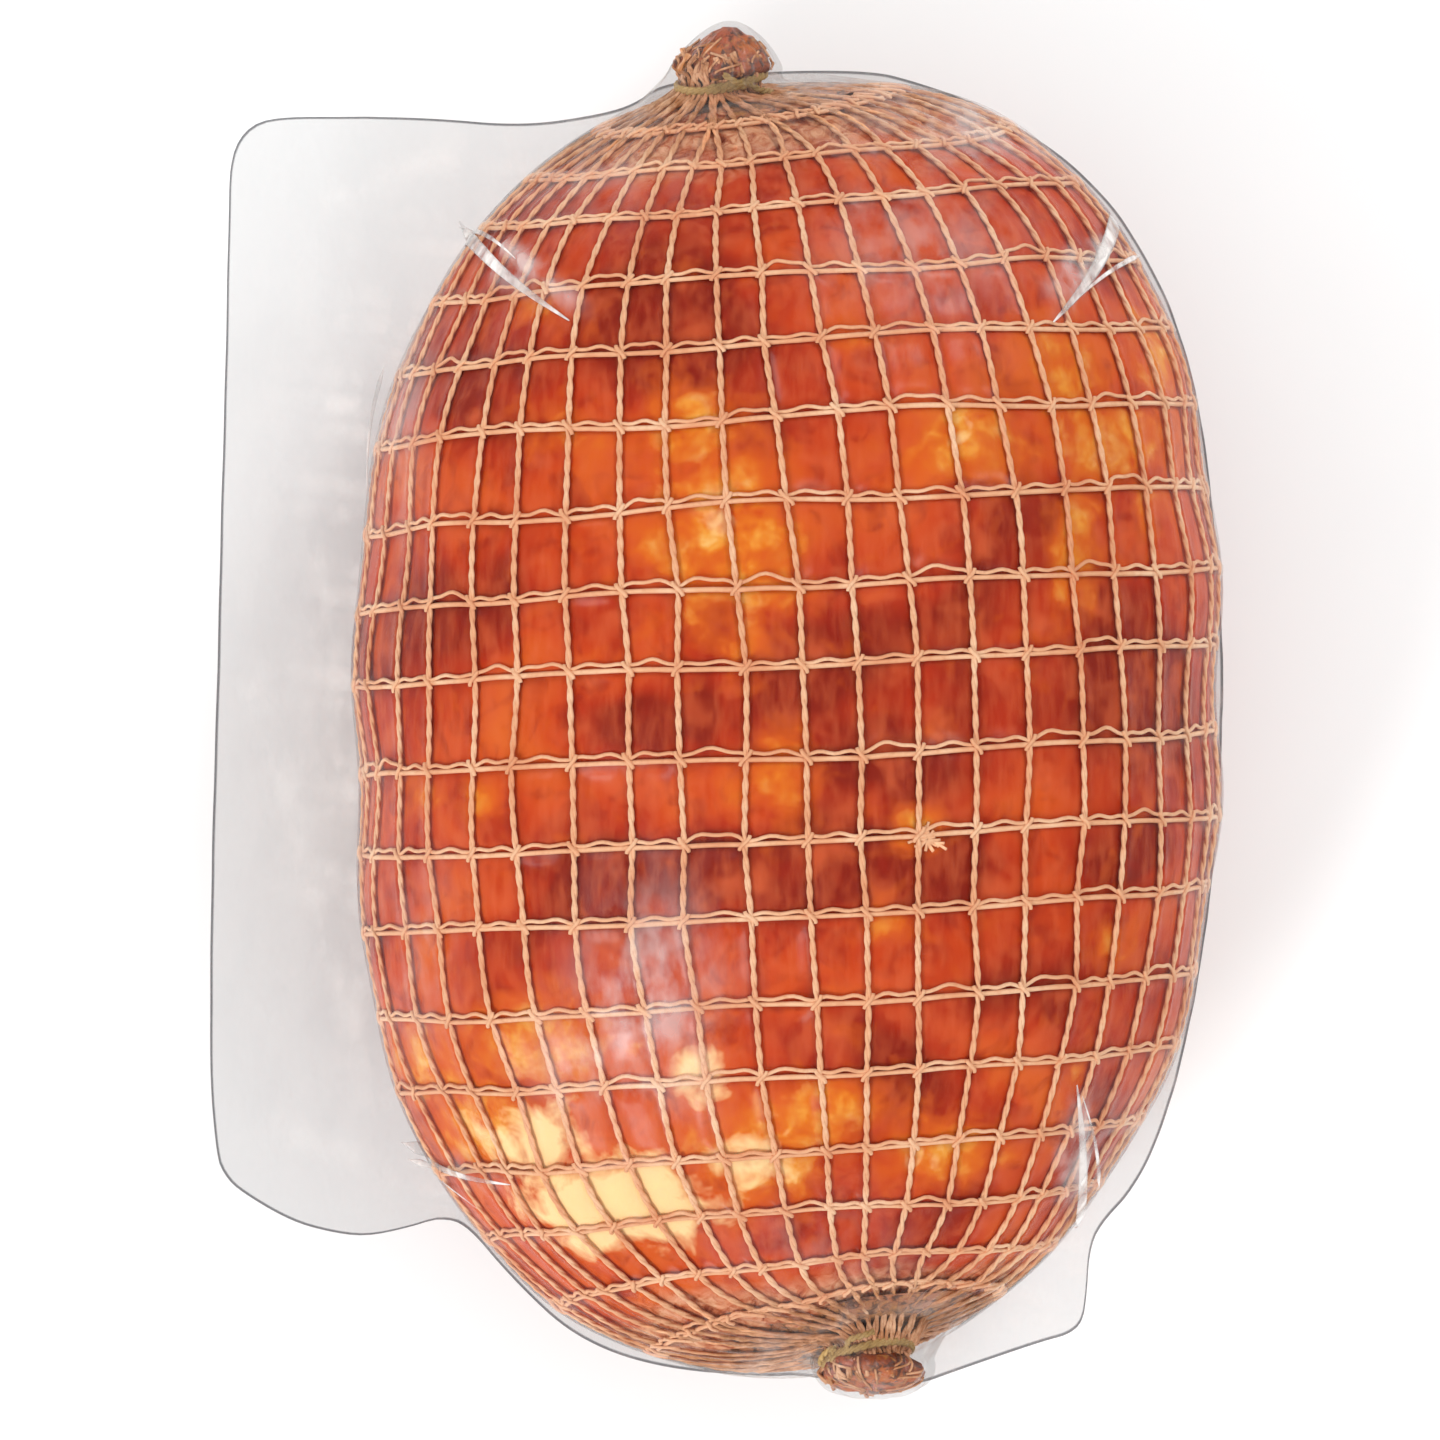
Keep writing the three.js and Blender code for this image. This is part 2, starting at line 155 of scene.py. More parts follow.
def surface(wale, row):
    """Points of the smooth ham and its outward normals, in mm in the ham's frame."""
    wale, row = np.broadcast_arrays(np.asarray(wale, float), np.asarray(row, float))
    calm = np.clip(np.minimum(row + 1, LAST_ROW + 1 - row), 0, 1)
    share = np.mod((wale + crossing_value(SIDE_SHIFT, wale, row) * calm) / WALES, 1)
    turn = np.interp(share, GIRTH_SHARES, TURNS)
    y = np.interp(row + crossing_value(RING_SHIFT, wale, row) * calm, ROWS, PLACES)
    full = fullness(y)
    reach = (y - WIDEST_AT) / (TOP_END - WIDEST_AT)
    across, rise = section(turn + WALE_LEAN * full * reach * np.abs(reach) * np.sin(turn))
    top = y > WIDEST_AT
    fade = np.exp(-((full * HALF_WIDTH / NECK_REACH) ** 2))
    floor = math.exp(-((HALF_WIDTH / NECK_REACH) ** 2))
    drawn = (fade - floor) / (1 - floor)
    x = across * full + np.where(top, TOP_NECK["x"], BOTTOM_NECK["x"]) * drawn
    z = rise * full + np.where(top, TOP_NECK["z"], BOTTOM_NECK["z"]) * drawn
    return end_surface(x, z, top)


def end_surface(x, z, top):
    """The point and the normal of the ham's shoulder over a place seen along Y."""
    steep = np.where(top, TOP_BLUNTNESS[0], BOTTOM_BLUNTNESS[0])
    round_ = np.where(top, TOP_BLUNTNESS[1], BOTTOM_BLUNTNESS[1])
    end = np.where(top, TOP_END, BOTTOM_END)
    half = np.where(z > 0, CROWN, BELLY)
    parts = np.abs(x / HALF_WIDTH) ** (2 / SQUARENESS) + np.abs(z / half) ** (2 / SQUARENESS)
    parts = np.clip(parts, 1e-9, None)
    order = SQUARENESS / (2 * round_)
    reach = np.clip(1 - parts**order, 0, 1) ** (1 / steep)
    y = WIDEST_AT + (end - WIDEST_AT) * reach + RING_SLANT * x
    slope = parts ** (order - 1) / round_
    bend = 2 / SQUARENESS - 1
    normal_x = slope * np.abs(x / HALF_WIDTH) ** bend * np.sign(x) / HALF_WIDTH
    normal_z = slope * np.abs(z / half) ** bend * np.sign(z) / half
    normal_y = steep * reach ** (steep - 1) / (end - WIDEST_AT)
    normal = np.stack([normal_x - RING_SLANT * normal_y, normal_y, normal_z], -1)
    flat = z < -REST_LEVEL
    normal[flat] = (0, 0, -1)
    normal /= np.linalg.norm(normal, axis=-1, keepdims=True)
    return np.stack([x, y, np.maximum(z, -REST_LEVEL)], -1), normal


def neck_frame(neck):
    """The ham's tip under a neck, the neck's axis, and the two directions across it."""
    tip, _ = end_surface(np.array(neck["x"]), np.array(neck["z"]), np.array(neck["side"] > 0))
    out, up = math.cos(neck["lean"]), math.sin(neck["lean"])
    outward = np.array([0, neck["side"] * out, up])
    upward = np.array([0, -neck["side"] * up, out])
    return tip, outward, np.array([1.0, 0, 0]), upward


def around_neck(neck, distance, radius, angle):
    """Points round a neck, so far out from the ham's tip."""
    tip, axis, across, up = neck_frame(neck)
    distance, radius, angle = np.broadcast_arrays(distance, radius, angle)
    ring = np.cos(angle)[..., None] * across + np.sin(angle)[..., None] * up
    return tip + distance[..., None] * axis + radius[..., None] * ring


def neck_tip(neck, layer):
    """The end point of a layer over a gathered end."""
    distance = neck[layer][-1][0] + 0.15
    return around_neck(neck, distance, 0.0, 0.0) + (distance * NUB_LEAN, 0, 0)


# ---- The place of the ham's frame in the CAD frame ----
def ham_shift():
    wale, row = np.meshgrid(np.linspace(0, WALES, 353), np.linspace(-1, LAST_ROW + 1, 400))
    low, high = (np.array(corner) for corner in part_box("ham"))
    points, _ = surface(wale, row)
    points = points.reshape(-1, 3) / 1000
    middle = (low + high) / 2 - (points.min(0) + points.max(0)) / 2
    return np.array([middle[0], middle[1], low[2] + REST_LEVEL / 1000])


SHIFT = ham_shift()


def to_frame(points):
    """Points in metres of the CAD frame. None lies below the floor."""
    placed = np.asarray(points).reshape(-1, 3) / 1000 + SHIFT
    placed[:, 2] = np.maximum(placed[:, 2], 0)
    return placed


# ---- Mesh helpers ----
def grid_faces(rows, columns, wrap):
    """Quads over a grid of points held row by row. With wrap, the last column joins the first."""
    here = np.arange(columns if wrap else columns - 1)
    beside = (here + 1) % columns
    start = (np.arange(rows - 1) * columns)[:, None]
    corners = [start + here, start + columns + here, start + columns + beside, start + beside]
    return np.stack(corners, -1).reshape(-1, 4)


def mesh_object(name, points, faces, material, **values):
    """A smooth mesh from points in metres, with a float attribute for each of values."""
    mesh = bpy.data.meshes.new(name)
    mesh.from_pydata(np.asarray(points).tolist(), [], [list(face) for face in faces])
    mesh.polygons.foreach_set("use_smooth", np.ones(len(mesh.polygons), bool))
    for label, numbers in values.items():
        layer = mesh.attributes.new(label, "FLOAT", "POINT")
        layer.data.foreach_set("value", np.asarray(numbers, np.float32).ravel())
    mesh.materials.append(material)
    thing = bpy.data.objects.new(name, mesh)
    bpy.context.scene.collection.objects.link(thing)
    return thing


def piece(name, points, faces, material, node, slot, **values):
    """A piece of the object that stands for a CAD node, from points in mm of the ham's frame."""
    thing = mesh_object(name, to_frame(points), faces, material, **values)
    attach(thing, "root")
    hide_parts(node)
    return thing


def sweep(paths, normals, width, height, sides, closed=False):
    """Tubes along paths[k, n, 3], wide across the normals and high along them. Returns points and faces."""
    count, steps, _ = paths.shape
    if closed:
        tangents = np.roll(paths, -1, 1) - np.roll(paths, 1, 1)
    else:
        tangents = np.gradient(paths, axis=1)
    tangents /= np.linalg.norm(tangents, axis=-1, keepdims=True) + 1e-12
    sideways = np.cross(tangents, normals)
    sideways /= np.linalg.norm(sideways, axis=-1, keepdims=True) + 1e-12
    upwards = np.cross(sideways, tangents)
    angles = np.linspace(0, 2 * np.pi, sides, endpoint=False)
    width = np.broadcast_to(width, (count, steps))[..., None, None]
    height = np.broadcast_to(height, (count, steps))[..., None, None]
    points = (
        paths[:, :, None]
        + np.cos(angles)[:, None] * width * sideways[:, :, None]
        + np.sin(angles)[:, None] * height * upwards[:, :, None]
    )
    one = grid_faces(steps, sides, True)
    if closed:
        last = np.arange(sides) + (steps - 1) * sides
        first = np.arange(sides)
        one = np.concatenate([one, np.stack([last, first, np.roll(first, -1), np.roll(last, -1)], -1)])
    faces = (one[None] + (np.arange(count) * steps * sides)[:, None, None]).reshape(-1, 4).tolist()
    if not closed:
        for k in range(count):
            start = k * steps * sides
            faces.append(list(range(start, start + sides)))
            faces.append(list(range(start + steps * sides - 1, start + (steps - 1) * sides - 1, -1)))
    return points.reshape(-1, 3), faces


def joined(parts):
    """Several (points, faces) as one."""
    points, faces, start = [], [], 0
    for some_points, some_faces in parts:
        points.append(some_points)
        faces += [[index + start for index in face] for face in some_faces]
        start += len(some_points)
    return np.concatenate(points), faces


def spline(knots, steps):
    """A smooth curve through knots[n, ..., 3], with so many steps between each two."""
    knots = np.asarray(knots)
    padded = np.concatenate([[2 * knots[0] - knots[1]], knots, [2 * knots[-1] - knots[-2]]])
    curve = []
    for k in range(len(knots) - 1):
        before, start, end, after = padded[k : k + 4]
        for t in np.arange(steps) / steps:
            curve.append(
                0.5
                * (
                    2 * start
                    + (end - before) * t
                    + (2 * before - 5 * start + 4 * end - after) * t**2
                    + (3 * start - before - 3 * end + after) * t**3
                )
            )
    return np.array([*curve, knots[-1]])


def smoothstep(low, high, value):
    t = np.clip((value - low) / (high - low), 0, 1)
    return t * t * (3 - 2 * t)


# ---- Relief of the meat and of the pouch over it ----
CELL_RISE = rng.uniform(0.4, 0.95, (WALES, LAST_ROW + 2))
LUMPS = [(rng.normal(0, 1, 3), rng.uniform(0.10, 0.26), rng.uniform(0, 6.3)) for _ in range(9)]
CORD_LIFT = 0.5  # of a cord's middle over the smooth ham


def lumps(points):
    """The slow unevenness of the pressed meat, in mm."""
    total = np.zeros(points.shape[:-1])
    for direction, frequency, phase in LUMPS:
        axis = direction / np.linalg.norm(direction)
        total += np.sin(points @ axis * frequency + phase) * 0.05 / frequency
    return total * 0.9


def crumple(points, size, seed):
    """Uneven folds from -1 to 1 at points in mm, about so many mm across."""
    shift = Vector((seed * 17.3, seed * 5.1, seed * 9.7))
    flat = points.reshape(-1, 3) / size
    values = [
        noise.noise(Vector(p) + shift) + 0.5 * noise.noise(Vector(p) * 2.3 + shift) for p in flat.tolist()
    ]
    return np.reshape(values, points.shape[:-1])


def pillow(wale, row):
    """How far the meat bulges out between the cords, in mm."""
    across, along = np.mod(wale, 1), np.mod(row, 1)
    bulge = (4 * across * (1 - across)) ** 0.6 * (4 * along * (1 - along)) ** 0.5
    cell = CELL_RISE[
        np.floor(np.mod(wale, WALES)).astype(int), np.clip(np.floor(row + 1).astype(int), 0, LAST_ROW + 1)
    ]
    narrow = np.clip(fullness(np.interp(row, ROWS, PLACES)) * 1.15, 0.1, 1)
    tight = 1 + 0.9 * np.exp(-(((row - 13.6) / 1.8) ** 2)) * np.exp(-(((np.mod(wale, WALES) - 9) / 5) ** 2))
    return cell * bulge * narrow * tight - 0.3


def pressed(points):
    """1 where the belly is pressed flat, fading to 0 above it."""
    return smoothstep(-REST_LEVEL + 7, -REST_LEVEL, points[..., 2])


BELLY_DROP = 0.8  # how far the meat and cords fill the pouch's flat


# ---- Materials ----
def linear(red, green, blue, alpha=1.0):
    """A colour given as the eye sees it, 0 to 255, in the values that Blender computes with."""
    channels = [c / 255 for c in (red, green, blue)]
    return (*[c / 12.92 if c < 0.04045 else ((c + 0.055) / 1.055) ** 2.4 for c in channels], alpha)


class Nodes:
    """A short way to write a material's nodes."""

    def __init__(self, name):
        self.material = bpy.data.materials.new(name)
        self.material.use_nodes = True
        self.tree = self.material.node_tree
        self.tree.nodes.clear()
        self.output = self.tree.nodes.new("ShaderNodeOutputMaterial")

    def add(self, kind, inputs=(), **settings):
        node = self.tree.nodes.new("ShaderNode" + kind)
        for label, value in settings.items():
            setattr(node, label, value)
        for key, value in dict(inputs).items():
            if isinstance(value, bpy.types.NodeSocket):
                self.tree.links.new(value, node.inputs[key])
            else:
                node.inputs[key].default_value = value
        return node

    def attribute(self, name):
        return self.add("Attribute", attribute_name=name).outputs["Fac"]

    def position(self, scale=(1, 1, 1)):
        """Object coordinates in millimetres, scaled along each axis."""
        spot = self.add("TexCoord").outputs["Object"]
        return self.add("Mapping", {"Vector": spot, "Scale": [1000 * s for s in scale]}).outputs["Vector"]

    def noise(self, size, detail=3.0, roughness=0.5, stretch=(1, 1, 1), distortion=0.0):
        """Noise from about 0.25 to 0.75, with features about so many millimetres across."""
        inputs = {
            "Vector": self.position(stretch),
            "Scale": 1 / size,
            "Detail": detail,
            "Roughness": roughness,
            "Distortion": distortion,
        }
        return self.add("TexNoise", inputs).outputs["Fac"]

    def ramp(self, value, *stops):
        """Colours or greys at places from 0 to 1."""
        node = self.add("ValToRGB", {"Fac": value})
        elements = node.color_ramp.elements
        while len(elements) < len(stops):
            elements.new(0.5)
        for element, (place, colour) in zip(elements, stops):
            element.position = place
            element.color = colour if isinstance(colour, tuple) else (colour, colour, colour, 1)
        return node.outputs["Color"]

    def mix(self, factor, first, second, blend="MIX"):
        node = self.add("Mix", {0: factor, 6: first, 7: second}, data_type="RGBA", blend_type=blend)
        return node.outputs[2]

    def math(self, operation, first, second=0.0, clamp=False):
        node = self.add("Math", {0: first, 1: second}, operation=operation, use_clamp=clamp)
        return node.outputs["Value"]

    def bump(self, height, strength, distance_mm, under=None):
        inputs = {"Height": height, "Strength": strength, "Distance": distance_mm / 1000}
        if under is not None:
            inputs["Normal"] = under
        return self.add("Bump", inputs).outputs["Normal"]

    def finish(self, shader):
        self.tree.links.new(shader, self.output.inputs["Surface"])
        return self.material


def meat_material():
    n = Nodes("cured_meat")
    broad = n.math(
        "SUBTRACT", n.noise(24, 2, 0.5, distortion=0.6), n.math("MULTIPLY", n.attribute("dark"), 0.5)
    )
    lean = n.ramp(
        broad,
        (0.26, linear(146, 34, 12)),
        (0.4, linear(190, 54, 18)),
        (0.54, linear(214, 78, 26)),
        (0.7, linear(232, 112, 40)),
    )
    blotch = n.noise(5.5, 3, 0.55, distortion=0.8)
    lean = n.mix(n.ramp(blotch, (0.5, 0.0), (0.7, 0.75)), lean, linear(160, 36, 14))
    soft = n.noise(8, 2, 0.5, distortion=0.4)
    lean = n.mix(n.ramp(soft, (0.5, 0.0), (0.72, 0.6)), lean, linear(232, 112, 66))
    fibre = n.noise(1.7, 4, 0.6, stretch=(1, 0.25, 1))
    lean = n.mix(n.ramp(fibre, (0.42, 0.0), (0.72, 0.35)), lean, linear(236, 124, 78))
    fat_tone = n.ramp(
        n.noise(5, 3, 0.55, distortion=0.3),
        (0.3, linear(222, 92, 26)),
        (0.46, linear(240, 138, 38)),
        (0.58, linear(250, 178, 74)),
        (0.7, linear(255, 208, 128)),
    )
    edge = n.noise(6, 3, 0.55, distortion=0.35)
    fat = n.math("ADD", n.attribute("fat"), n.math("MULTIPLY", n.math("SUBTRACT", edge, 0.5), 1.3))
    colour = n.mix(n.ramp(fat, (0.12, 0.0), (0.5, 0.8)), lean, linear(232, 112, 34))
    colour = n.mix(n.ramp(fat, (0.42, 0.0), (0.85, 1.0)), colour, fat_tone)
    colour = n.mix(1.0, colour, (0.85, 0.73, 0.62, 1.0), "MULTIPLY")
    cream = n.math("ADD", n.attribute("cream"), n.math("MULTIPLY", n.math("SUBTRACT", edge, 0.5), 1.4))
    colour = n.mix(n.ramp(cream, (0.42, 0.0), (0.8, 0.9)), colour, linear(255, 220, 160))
    crumple = n.noise(3.4, 4, 0.65, distortion=0.9)
    tan = n.ramp(
        crumple,
        (0.34, linear(120, 52, 28)),
        (0.44, linear(186, 112, 76)),
        (0.56, linear(216, 160, 122)),
        (0.7, linear(236, 186, 152)),
    )
    gather = n.math("ADD", n.attribute("gather"), n.math("MULTIPLY", n.math("SUBTRACT", soft, 0.5), 0.9))
    colour = n.mix(n.ramp(gather, (0.3, 0.0), (0.85, 0.9)), colour, tan)
    # Painted shade: the meat is darkened in the grooves along the cords.
    groove = n.ramp(n.attribute("groove"), (0.1, 0.25), (0.6, 0.0))
    colour = n.mix(groove, colour, linear(120, 24, 10), "MULTIPLY")
    rough = n.ramp(n.noise(4, 3, 0.6), (0.3, 0.36), (0.7, 0.55))
    normal = n.bump(fibre, 0.3, 0.5)
    normal = n.bump(n.noise(1.1, 4, 0.65), 0.2, 0.3, normal)
    shader = n.add(
        "BsdfPrincipled",
        {
            "Base Color": colour,
            "Roughness": rough,
            "Normal": normal,
            "Subsurface Weight": 0.12,
            "Subsurface Radius": (1.0, 0.3, 0.15),
            "Subsurface Scale": 0.002,
            "Specular IOR Level": 0.09,
        },
    )
    return n.finish(shader.outputs["BSDF"])


def yarn_material(name, tones, shade, gathered):
    """Yarn in three tones. The gathered tone takes over where the attribute gather is 1."""
    n = Nodes(name)
    colour = n.ramp(n.noise(11, 3, 0.6), (0.32, tones[0]), (0.5, tones[1]), (0.68, tones[2]))
    colour = n.mix(n.ramp(n.noise(0.9, 3, 0.6), (0.48, 0.0), (0.75, 0.4)), colour, shade)
    patch = n.math("MULTIPLY", n.attribute("gather"), n.ramp(n.noise(2.6, 3, 0.6), (0.38, 0.25), (0.6, 1.0)))
    colour = n.mix(patch, colour, gathered)
    normal = n.bump(n.noise(0.45, 3, 0.6, stretch=(1, 0.5, 1)), 0.6, 0.25)
    shader = n.add(
        "BsdfPrincipled",
        {
            "Base Color": colour,
            "Roughness": n.ramp(n.noise(3), (0.3, 0.45), (0.7, 0.7)),
            "Normal": normal,
            "Specular IOR Level": 0.25,
        },
    )
    return n.finish(shader.outputs["BSDF"])


def gathered_material():
    """Bunched net and casing: beige at the shoulder, olive brown at the neck, amber and pink in the tuft."""
    n = Nodes("gathered_end")
    along = n.math(
        "ADD", n.attribute("along"), n.math("MULTIPLY", n.math("SUBTRACT", n.noise(3, 4, 0.6), 0.5), 0.5)
    )
    colour = n.ramp(
        along,
        (0.0, linear(188, 120, 84)),
        (0.24, linear(176, 126, 80)),
        (0.36, linear(80, 56, 20)),
        (0.54, linear(74, 30, 8)),
        (0.66, linear(150, 62, 10)),
        (0.84, linear(204, 108, 14)),
        (1.0, linear(176, 76, 36)),
    )
    lump = n.noise(4.2, 3, 0.55, distortion=0.6)
    pink = n.math(
        "MULTIPLY",
        n.ramp(lump, (0.5, 0.0), (0.6, 0.85)),
        n.ramp(n.attribute("along"), (0.5, 0.2), (0.7, 1.0)),
    )
    colour = n.mix(pink, colour, linear(196, 98, 62))
    pits = n.noise(2.0, 4, 0.65, distortion=0.7)
    colour = n.mix(n.ramp(pits, (0.48, 0.0), (0.6, 0.9)), colour, linear(74, 34, 12))
    pale = n.ramp(n.noise(1.6, 3, 0.6), (0.56, 0.0), (0.68, 0.8))
    colour = n.mix(pale, colour, linear(204, 142, 74))
    colour = n.mix(1.0, colour, (0.8, 0.72, 0.6, 1.0), "MULTIPLY")
    normal = n.bump(pits, 0.6, 0.6)
    roughness = n.ramp(n.noise(2), (0.3, 0.25), (0.7, 0.5))
    inputs = {"Base Color": colour, "Roughness": roughness, "Normal": normal}
    return n.finish(n.add("BsdfPrincipled", inputs).outputs["BSDF"])


def film_material():
    """Clear film: see-through, glossy at a slant, and milky where it stands off the meat. The same milky white
    is painted on as highlights: glare patches over the ham and a glare streak on the flap.
    """
    n = Nodes("pouch_film")
    ripple = n.bump(n.noise(7, 3, 0.55, stretch=(1, 0.6, 1)), 0.25, 0.8)
    milk_and_glare = n.math(
        "MULTIPLY",
        n.attribute("haze"),
        n.ramp(n.noise(6, 3, 0.6, stretch=(1, 0.5, 1)), (0.38, 0.08), (0.62, 0.85)),
        clamp=True,
    )
    # Painted shade: where the attribute rim is 1, at the pouch's cut edge, the film lets through much less
    # light, a thin dark line round the pouch.
    tint = n.ramp(n.attribute("rim"), (0.0, (0.875, 0.875, 0.875, 1)), (0.45, (0.46, 0.46, 0.47, 1)))
    clear = n.add("BsdfTransparent", {"Color": tint}).outputs["BSDF"]
    milk_and_glare_white = n.add("BsdfPrincipled", {"Base Color": (0.94, 0.89, 0.86, 1), "Roughness": 0.3}).outputs["BSDF"]
    body = n.add("MixShader", {0: milk_and_glare, 1: clear, 2: milk_and_glare_white}).outputs["Shader"]
    gloss = n.add("BsdfGlossy", {"Color": (1, 1, 1, 1), "Roughness": 0.26, "Normal": ripple}).outputs["BSDF"]
    slant = n.add("LayerWeight", {"Blend": 0.5, "Normal": ripple}).outputs["Facing"]
    shine = n.math("ADD", n.math("MULTIPLY", n.math("POWER", slant, 5.0), 0.36), 0.006)
    return n.finish(n.add("MixShader", {0: shine, 1: body, 2: gloss}).outputs["Shader"])


def floor_material():
    n = Nodes("pale_floor")
    shade = n.ramp(n.noise(60, 2), (0.3, (0.88, 0.9, 0.905, 1)), (0.7, (0.895, 0.915, 0.92, 1)))
    return n.finish(n.add("BsdfPrincipled", {"Base Color": shade, "Roughness": 0.9}).outputs["BSDF"])


# ---- Camera, lights and floor ----
VIEW_WIDTH = 0.2506  # metres across the picture at the level of the ham's middle
VIEW_HEIGHT = 0.95  # of the camera over the ham's middle
CAMERA_SENSOR = 36.0
CAMERA_AXIS = np.array([-11.66, 0.35])  # where the camera looks straight down, in mm of the ham's frame


def add_camera():
    data = bpy.data.cameras.new("camera")
    data.sensor_width = CAMERA_SENSOR
    data.lens = VIEW_HEIGHT * CAMERA_SENSOR / VIEW_WIDTH
    data.clip_start = 0.05
    camera = bpy.data.objects.new("camera", data)
    camera.location = (*(SHIFT[:2] + CAMERA_AXIS / 1000), SHIFT[2] + VIEW_HEIGHT)
    bpy.context.scene.collection.objects.link(camera)
    bpy.context.scene.camera = camera


def add_area(name, place, target, size, watts):
    data = bpy.data.lights.new(name, "AREA")
    data.shape, data.size, data.energy = "DISK", size, watts
    light = bpy.data.objects.new(name, data)
    light.location = place
    light.rotation_euler = (Vector(target) - Vector(place)).to_track_quat("-Z", "Y").to_euler()
    bpy.context.scene.collection.objects.link(light)


def add_studio():
    world = bpy.data.worlds.new("studio")
    world.use_nodes = True
    background = world.node_tree.nodes["Background"]
    background.inputs["Color"].default_value = (1, 1, 1, 1)
    background.inputs["Strength"].default_value = 0.95
    bpy.context.scene.world = world
    bpy.context.scene.view_settings.view_transform = "Standard"
    add_area("key", (-1.5, -1.6, 1.8), (0, 0, 0.05), 0.9, 44)
    add_area("fill", (1.2, 1.6, 1.8), (0, 0, 0.05), 0.7, 24)
    corners = [(-3, -3, 0), (-3, 3, 0), (3, 3, 0), (3, -3, 0)]
    mesh_object("floor", corners, [(3, 2, 1, 0)], floor_material())


# ---- Ham ----
ACROSS_STEPS, ALONG_STEPS = 8, 12  # of the meat's grid in each cell of the net

# Fat on the top, as [across, along, size across, size along] in mm from the ham's middle, and how
# strong it is. These places and DARK_PATCHES came from photo crops by way of a conversion script.
FAT_PATCHES = [
    (-16, 48, 9, 6, 0.9),
    (-10, 30, 11, 12, 1.0),
    (28, 46, 9, 6, 1.0),
    (45, 58, 6, 8, 0.8),
    (63, 64, 5, 8, 0.7),
    (53, 47, 10, 6, 0.9),
    (47, 28, 4, 11, 0.75),
    (61, 37, 3, 6, 0.6),
    (-42, 70, 4, 4, 0.5),
    (-36, 48, 9, 4, 0.5),
    (-51, -13, 3, 3, 0.8),
    (-62, -11, 3, 4, 0.6),
    (-2, -9, 4, 6, 0.75),
    (-9, -12, 3, 4, 0.7),
    (20, -17, 4, 4, 0.8),
    (16, -33, 4, 3, 0.55),
    (-40, -53, 12, 7, 0.85),
    (-60, -59, 7, 7, 0.8),
    (-50, -68, 10, 7, 0.95),
    (-28, -79, 13, 8, 1.0),
    (-15, -58, 4, 4, 0.9),
    (-6, -71, 11, 8, 0.95),
    (6, -64, 7, 6, 0.85),
    (25, -71, 9, 5, 0.85),
    (47, -57, 3, 4, 0.5),
    (53, -36, 4, 4, 0.55),
    (-7, 14, 4, 7, 0.55),
    (22, 100, 6, 3, 0.5),
    (12, 62, 5, 3, 0.45),
]
CREAM_PATCHES = [
    (-28, -80, 14, 8, 1.25),
    (-15, -58, 5, 5, 0.9),
    (-8, -72, 8, 6, 0.8),
    (-42, -70, 9, 7, 0.9),
    (22, -72, 6, 4, 0.5),
    (-12, 34, 5, 6, 0.45),
    (28, 46, 5, 3, 0.5),
    (-52, -68, 6, 4, 0.55),
]
# The darkest lean, in the same way.
DARK_PATCHES = [
    (-20, 66, 11, 9, 0.9),
    (2, -24, 17, 7, 1.0),
    (25, -23, 10, 5, 0.8),
    (59, 5, 11, 13, 1.0),
    (56, -22, 10, 6, 0.7),
    (-23, 0, 11, 5, 0.8),
    (13, 12, 14, 12, 0.5),
    (-53, 61, 10, 7, 0.6),
    (-60, 20, 7, 10, 0.5),
    (36, -45, 10, 6, 0.5),
    (21, -56, 7, 5, 0.5),
    (17, -4, 10, 7, 0.6),
    (-28, -23, 12, 6, 0.6),
]


def patch_mask(points, patches):
    total = np.zeros(points.shape[:-1])
    for x, y, wide, long, strength in patches:
        distance = ((points[..., 0] - x) / wide) ** 2 + ((points[..., 1] - y) / long) ** 2
        total = np.maximum(total, strength * np.exp(-0.7 * distance) * (points[..., 2] > 0))
    return total


def hidden_fat(points):
    """Fat on the sides and the belly, which no list gives."""
    waves = np.sin(points @ (0.061, 0.043, 0.02)) + np.sin(points @ (-0.035, 0.058, 0.05) + 2)
    waves += np.sin(points @ (0.02, -0.09, 0.075) + 4)
    return smoothstep(1.1, 2.6, waves) * smoothstep(20, -10, points[..., 2])


